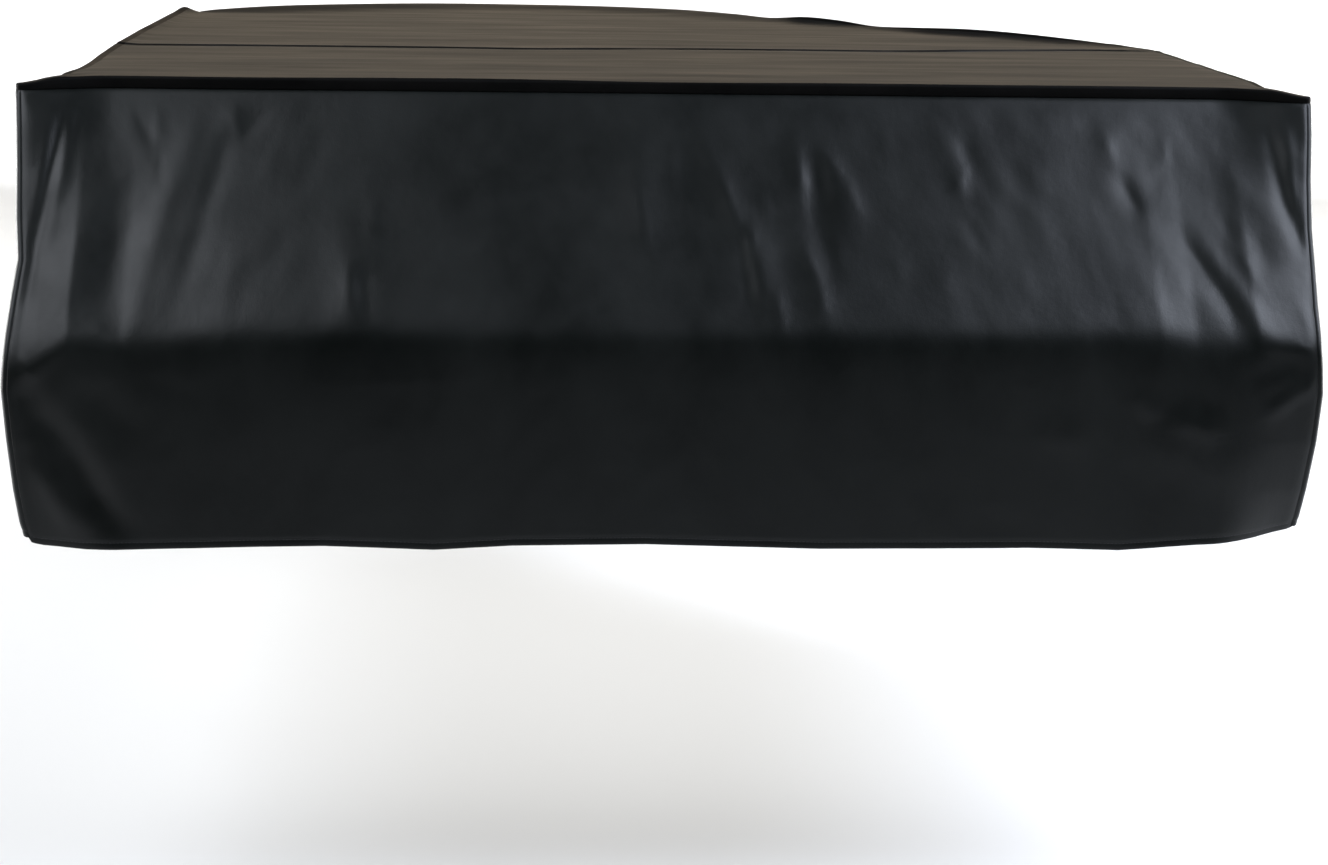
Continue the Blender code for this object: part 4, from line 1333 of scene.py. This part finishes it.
    def build(self, piece: Piece, normals: np.ndarray,
              finishes: Sequence[bpy.types.Material]) -> bpy.types.Object:
        """Give one piece its thickness and make its object.

        Args:
            piece: the piece.
            normals: outward direction at every point.
            finishes: finishes of the coated face, the backing and the rolled edge, whose
                finish is darkened as painted shade.

        Returns:
            The object.
        """
        faces = self.faces[piece]
        used = np.unique(faces)
        number = np.full(len(self.points), -1)
        number[used] = np.arange(len(used))
        spots = self.points[used].copy()
        for point, move in self._shifts(piece, normals).items():
            spots[number[point]] += move
        thick = np.full(len(self.points), self.top.cloth)
        thick[self.skirt_ids[:, self.row_shares > self.hem_share]] = self.hem_cloth
        spots += np.array((0.0, PLAN_SHIFT, 0.0))
        backs = spots - normals[used] * thick[used][:, None]
        count = len(used)
        hem = self.skirt_ids[:, -1]
        rounding = number[hem[np.isin(hem, used)]]
        spots[rounding] -= normals[used][rounding] * self.hem_round
        backs[rounding] += normals[used][rounding] * self.hem_round
        polygons, marks = [], []
        for spots_of, face in zip(faces.tolist(), number[faces].tolist()):
            corners = face[:3] if face[2] == face[3] else face
            polygons.append(corners)
            # Faces wholly on the rolled edge take its darker, almost unreflecting finish,
            # which is painted shade.
            marks.append(2 if self.rolled.issuperset(spots_of) else 0)
            polygons.append([c + count for c in reversed(corners)])
            marks.append(1)
        for a, b in sorted(self._border(faces)):
            i, j = int(number[a]), int(number[b])
            polygons.append([j, i, i + count, j + count])
            marks.append(0)
        mesh = bpy.data.meshes.new("cover_" + piece.value)
        mesh.from_pydata(np.vstack((spots, backs)).tolist(), [], polygons)
        for finish in finishes:
            mesh.materials.append(finish)
        mesh.polygons.foreach_set("material_index", marks)
        mesh.polygons.foreach_set("use_smooth", [True] * len(polygons))
        mesh.set_sharp_from_angle(angle=math.radians(55.0))
        mesh.validate()
        mesh.update()
        body = bpy.data.objects.new("cover_" + piece.value, mesh)
        bpy.context.collection.objects.link(body)
        return body


@dataclass
class HemStitches:
    """Row of stitches that holds the turned hem of one skirt."""

    pitch: float = 0.0046
    length: float = 0.0034
    width: float = 0.00065
    proud: float = 0.00035
    sunk: float = 0.0001
    end: float = 0.006
    look_ahead: float = 0.003
    section: tuple = ((0.5, 0.0), (0.0, 1.0), (-0.5, 0.0))
    slices: tuple = ((-0.5, 0.35), (-0.3, 1.0), (0.3, 1.0), (0.5, 0.35))

    def build(self, name: str, line: np.ndarray, normals: np.ndarray,
              thread: bpy.types.Material) -> bpy.types.Object:
        """Sew the stitches along a line.

        Args:
            name: name of the piece.
            line: points of the line on the cloth.
            normals: outward directions there.
            thread: finish of the thread.

        Returns:
            The object.
        """
        steps = np.linalg.norm(np.diff(line, axis=0), axis=1)
        run = np.concatenate(([0.0], np.cumsum(steps)))
        places = np.arange(self.end, run[-1] - self.end, self.pitch)
        spot = np.column_stack([np.interp(places, run, line[:, k]) for k in range(3)])
        out = np.column_stack([np.interp(places, run, normals[:, k]) for k in range(3)])
        out /= np.linalg.norm(out, axis=1)[:, None]
        ahead = np.column_stack([np.interp(places + self.look_ahead, run, line[:, k])
                                 for k in range(3)])
        along = ahead - spot
        along /= np.linalg.norm(along, axis=1)[:, None]
        aside = np.cross(out, along)
        verts, faces = [], []
        for centre, up, way, wide in zip(spot, out, along, aside):
            first = len(verts)
            for place, size in self.slices:
                for across, high in self.section:
                    verts.append(centre + way * place * self.length
                                 + wide * across * self.width * size
                                 + up * (high * self.proud * size - self.sunk))
            for k in range(3):
                for s in range(2):
                    a = first + 3 * k + s
                    faces.append((a, a + 3, a + 4, a + 1))
        mesh = bpy.data.meshes.new(name)
        mesh.from_pydata([tuple(v) for v in verts], [], faces)
        mesh.materials.append(thread)
        mesh.polygons.foreach_set("use_smooth", [True] * len(faces))
        mesh.update()
        body = bpy.data.objects.new(name, mesh)
        bpy.context.collection.objects.link(body)
        return body


@dataclass
class GrandPianoCover:
    """The five sewn pieces with their hems and finishes."""

    sheet: CoverSheet = field(default_factory=CoverSheet)
    stitches: HemStitches = field(default_factory=HemStitches)

    def finishes(self) -> dict:
        """Make the finish of each piece's outer face.

        Returns:
            The materials by piece.
        """
        # The top pieces' colour and haze are warmer and a little lighter than the skirts':
        # the black cloth's own tone with a painted warm reflection added, standing in for
        # the warm light the flat top catches at a grazing angle.
        top = dict(colour=(0.0018, 0.0019, 0.0016), haze=(0.0042, 0.0040, 0.0032),
                   roughness=0.50, streaked=True)
        skirt = dict(colour=(0.0008, 0.0018, 0.0015), haze=(0.0022, 0.0036, 0.0031),
                     roughness=0.41)
        return {
            Piece.TOP_FRONT: CoatedCloth("coated_cloth_top_front_with_painted_reflection", **top).material(),
            Piece.TOP_MAIN: CoatedCloth("coated_cloth_top_main_with_painted_reflection", **top).material(),
            Piece.FRONT: CoatedCloth("coated_cloth_front", **skirt).material(),
            Piece.BASS: CoatedCloth("coated_cloth_bass", **skirt).material(),
            Piece.BENTSIDE: CoatedCloth("coated_cloth_bentside", **skirt).material(),
        }

    def build(self) -> None:
        """Lay the sheet, cut it, attach each piece and its stitches to the root body and
        hide its solid.
        """
        sheet = self.sheet
        sheet.lay()
        sheet.dress()
        normals = sheet.normals()
        finishes = self.finishes()
        backing = KnitBacking().material()
        # The rolled edge is the same coated cloth made darker and almost unreflecting:
        # painted shade for the dark band where the cloth turns down over the lid's edge.
        rolled = CoatedCloth("coated_cloth_rolled_edge_painted_shade", (0.0012, 0.0012, 0.0011),
                             (0.0032, 0.0030, 0.0027), 0.55, 0.06).material()
        thread = SeamThread().material()
        for piece in Piece:
            body = sheet.build(piece, normals, (finishes[piece], backing, rolled))
            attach(body, "root")
            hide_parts(piece.value)
            sewn = []
            if piece in sheet.spans:
                sewn.append(self._sew(piece, normals, thread))
                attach(sewn[0], "root")
            log.info("%s: %d faces", body.name, len(body.data.polygons))

    def _sew(self, piece: Piece, normals: np.ndarray,
             thread: bpy.types.Material) -> bpy.types.Object:
        """Sew the hem of one skirt.

        Args:
            piece: the skirt.
            normals: outward direction at every point of the sheet.
            thread: finish of the thread.

        Returns:
            The row of stitches.
        """
        sheet = self.sheet
        span = sheet.spans[piece]
        span = np.append(span, span[-1] + 1) % len(sheet.skirt_ids)
        row = int(np.argmin(np.abs(sheet.row_shares - sheet.hem_share)))
        ids = sheet.skirt_ids[span, row]
        line = sheet.points[ids] + np.array((0.0, PLAN_SHIFT, 0.0))
        name = piece.value.replace("skirt", "hem_stitches")
        return self.stitches.build(name, line, normals[ids], thread)


class Lamp(NamedTuple):
    """A soft studio light."""

    name: str
    place: tuple
    aim: tuple
    width: float
    height: float
    power: float
    colour: tuple


LAMPS = (
    Lamp("inner_left", (-1.12, -1.35, 2.4), (-0.9, -0.7, -0.1), 0.5, 2.1, 6.0,
         (0.86, 0.92, 1.0)),
    Lamp("soft_left", (-2.45, -1.35, 2.4), (-0.9, -0.7, -0.1), 2.3, 2.1, 98.0,
         (0.88, 0.92, 1.0)),
    Lamp("inner_right", (1.58, -1.35, 2.3), (0.9, -0.7, -0.1), 0.5, 2.2, 7.0,
         (0.80, 0.85, 1.0)),
    Lamp("soft_right", (2.75, -1.35, 2.3), (0.9, -0.7, -0.1), 2.0, 2.2, 190.0,
         (0.80, 0.86, 1.0)),
    Lamp("side_left", (-4.4, 1.5, 0.2), (0.0, 1.1, -1.0), 3.6, 1.6, 230.0,
         WHITE),
    Lamp("side_right", (4.4, 1.5, 0.2), (0.0, 1.1, -1.0), 3.6, 1.6, 230.0,
         WHITE),
    Lamp("sweep_left", (-5.0, 3.6, -0.35), (-1.0, 6.0, -0.8), 2.0, 1.1, 280.0,
         WHITE),
    Lamp("sweep_right", (5.0, 3.6, -0.35), (1.0, 6.0, -0.8), 2.0, 1.1, 230.0,
         WHITE),
    Lamp("floor_fill", (0.0, 0.15, -0.62), (0.0, 0.15, -1.0), 1.3, 1.5, 3.5,
         WHITE),
    Lamp("warm_back", (0.5, 8.0, 1.6), (0.0, 0.0, 0.2), 8.0, 2.2, 70.0,
         (1.0, 0.82, 0.60)),
)


@dataclass
class Studio:
    """Camera at the photograph's angle, pale floor and soft lights."""

    place: tuple = (-0.195, -3.780, 0.291)
    yaw: float = 0.060
    pitch: float = 0.227
    roll: float = 0.016
    focal_px: float = 2553.336
    frame_px: float = 1328.0
    floor_half: float = 9.0
    floor_front: float = -4.5
    sweep_back: float = 6.5
    sweep_rise: float = 0.75
    sweep_steps: int = 16
    floor_colour: tuple = (0.80, 0.80, 0.79)
    world_colour: tuple = (0.62, 0.61, 0.60)
    world_power: float = 0.09

    def camera(self) -> None:
        """Set up the camera."""
        sin, cos = math.sin, math.cos
        ahead = Vector((sin(self.yaw) * cos(self.pitch), cos(self.yaw) * cos(self.pitch),
                        -sin(self.pitch)))
        right = Vector((cos(self.yaw), -sin(self.yaw), 0.0))
        up = right.cross(ahead)
        across = right * cos(self.roll) + up * sin(self.roll)
        upright = up * cos(self.roll) - right * sin(self.roll)
        data = bpy.data.cameras.new("camera")
        data.sensor_width = 36.0
        data.lens = self.focal_px / self.frame_px * 36.0
        camera = bpy.data.objects.new("camera", data)
        bpy.context.collection.objects.link(camera)
        turn = Matrix((across, upright, -ahead)).transposed().to_4x4()
        camera.matrix_world = Matrix.Translation(self.place) @ turn
        bpy.context.scene.camera = camera

    def floor(self) -> None:
        """Lay the pale floor, which sweeps up into a low backdrop."""
        half, back, rise = self.floor_half, self.sweep_back, self.sweep_rise
        line = [(self.floor_front, FLOOR_Z), (back - rise, FLOOR_Z)]
        for step in range(1, self.sweep_steps + 1):
            turn = math.pi / 2.0 * step / self.sweep_steps
            line.append((back - rise + rise * math.sin(turn),
                         FLOOR_Z + rise * (1.0 - math.cos(turn))))
        verts, faces = [], []
        for y, z in line:
            verts += [(-half, y, z), (half, y, z)]
        for step in range(len(line) - 1):
            a = 2 * step
            faces.append((a, a + 1, a + 3, a + 2))
        mesh = bpy.data.meshes.new("floor")
        mesh.from_pydata(verts, [], faces)
        mesh.polygons.foreach_set("use_smooth", [True] * len(faces))
        floor = bpy.data.objects.new("floor", mesh)
        bpy.context.collection.objects.link(floor)
        material = bpy.data.materials.new("pale_floor")
        material.use_nodes = True
        shader = material.node_tree.nodes["Principled BSDF"]
        shader.inputs["Base Color"].default_value = (*self.floor_colour, 1.0)
        shader.inputs["Roughness"].default_value = 0.9
        shader.inputs["Specular IOR Level"].default_value = 0.2
        mesh.materials.append(material)

    def lights(self) -> None:
        """Hang the soft lights and set the room's own light."""
        for lamp in LAMPS:
            data = bpy.data.lights.new(lamp.name, "AREA")
            data.shape = "RECTANGLE"
            data.size, data.size_y = lamp.width, lamp.height
            data.energy = lamp.power
            data.color = lamp.colour
            light = bpy.data.objects.new(lamp.name, data)
            bpy.context.collection.objects.link(light)
            light.location = lamp.place
            way = Vector(lamp.aim) - Vector(lamp.place)
            light.rotation_euler = way.to_track_quat("-Z", "Y").to_euler()
        world = bpy.data.worlds.new("studio")
        bpy.context.scene.world = world
        world.use_nodes = True
        backdrop = world.node_tree.nodes["Background"]
        backdrop.inputs["Color"].default_value = (*self.world_colour, 1.0)
        backdrop.inputs["Strength"].default_value = self.world_power
        bpy.context.scene.view_settings.view_transform = "Standard"


def main() -> None:
    """Set up the studio, then build and dress the cover."""
    logging.basicConfig(level=logging.INFO)
    studio = Studio()
    studio.camera()
    studio.floor()
    studio.lights()
    GrandPianoCover().build()


if __name__ == "__main__":
    main()
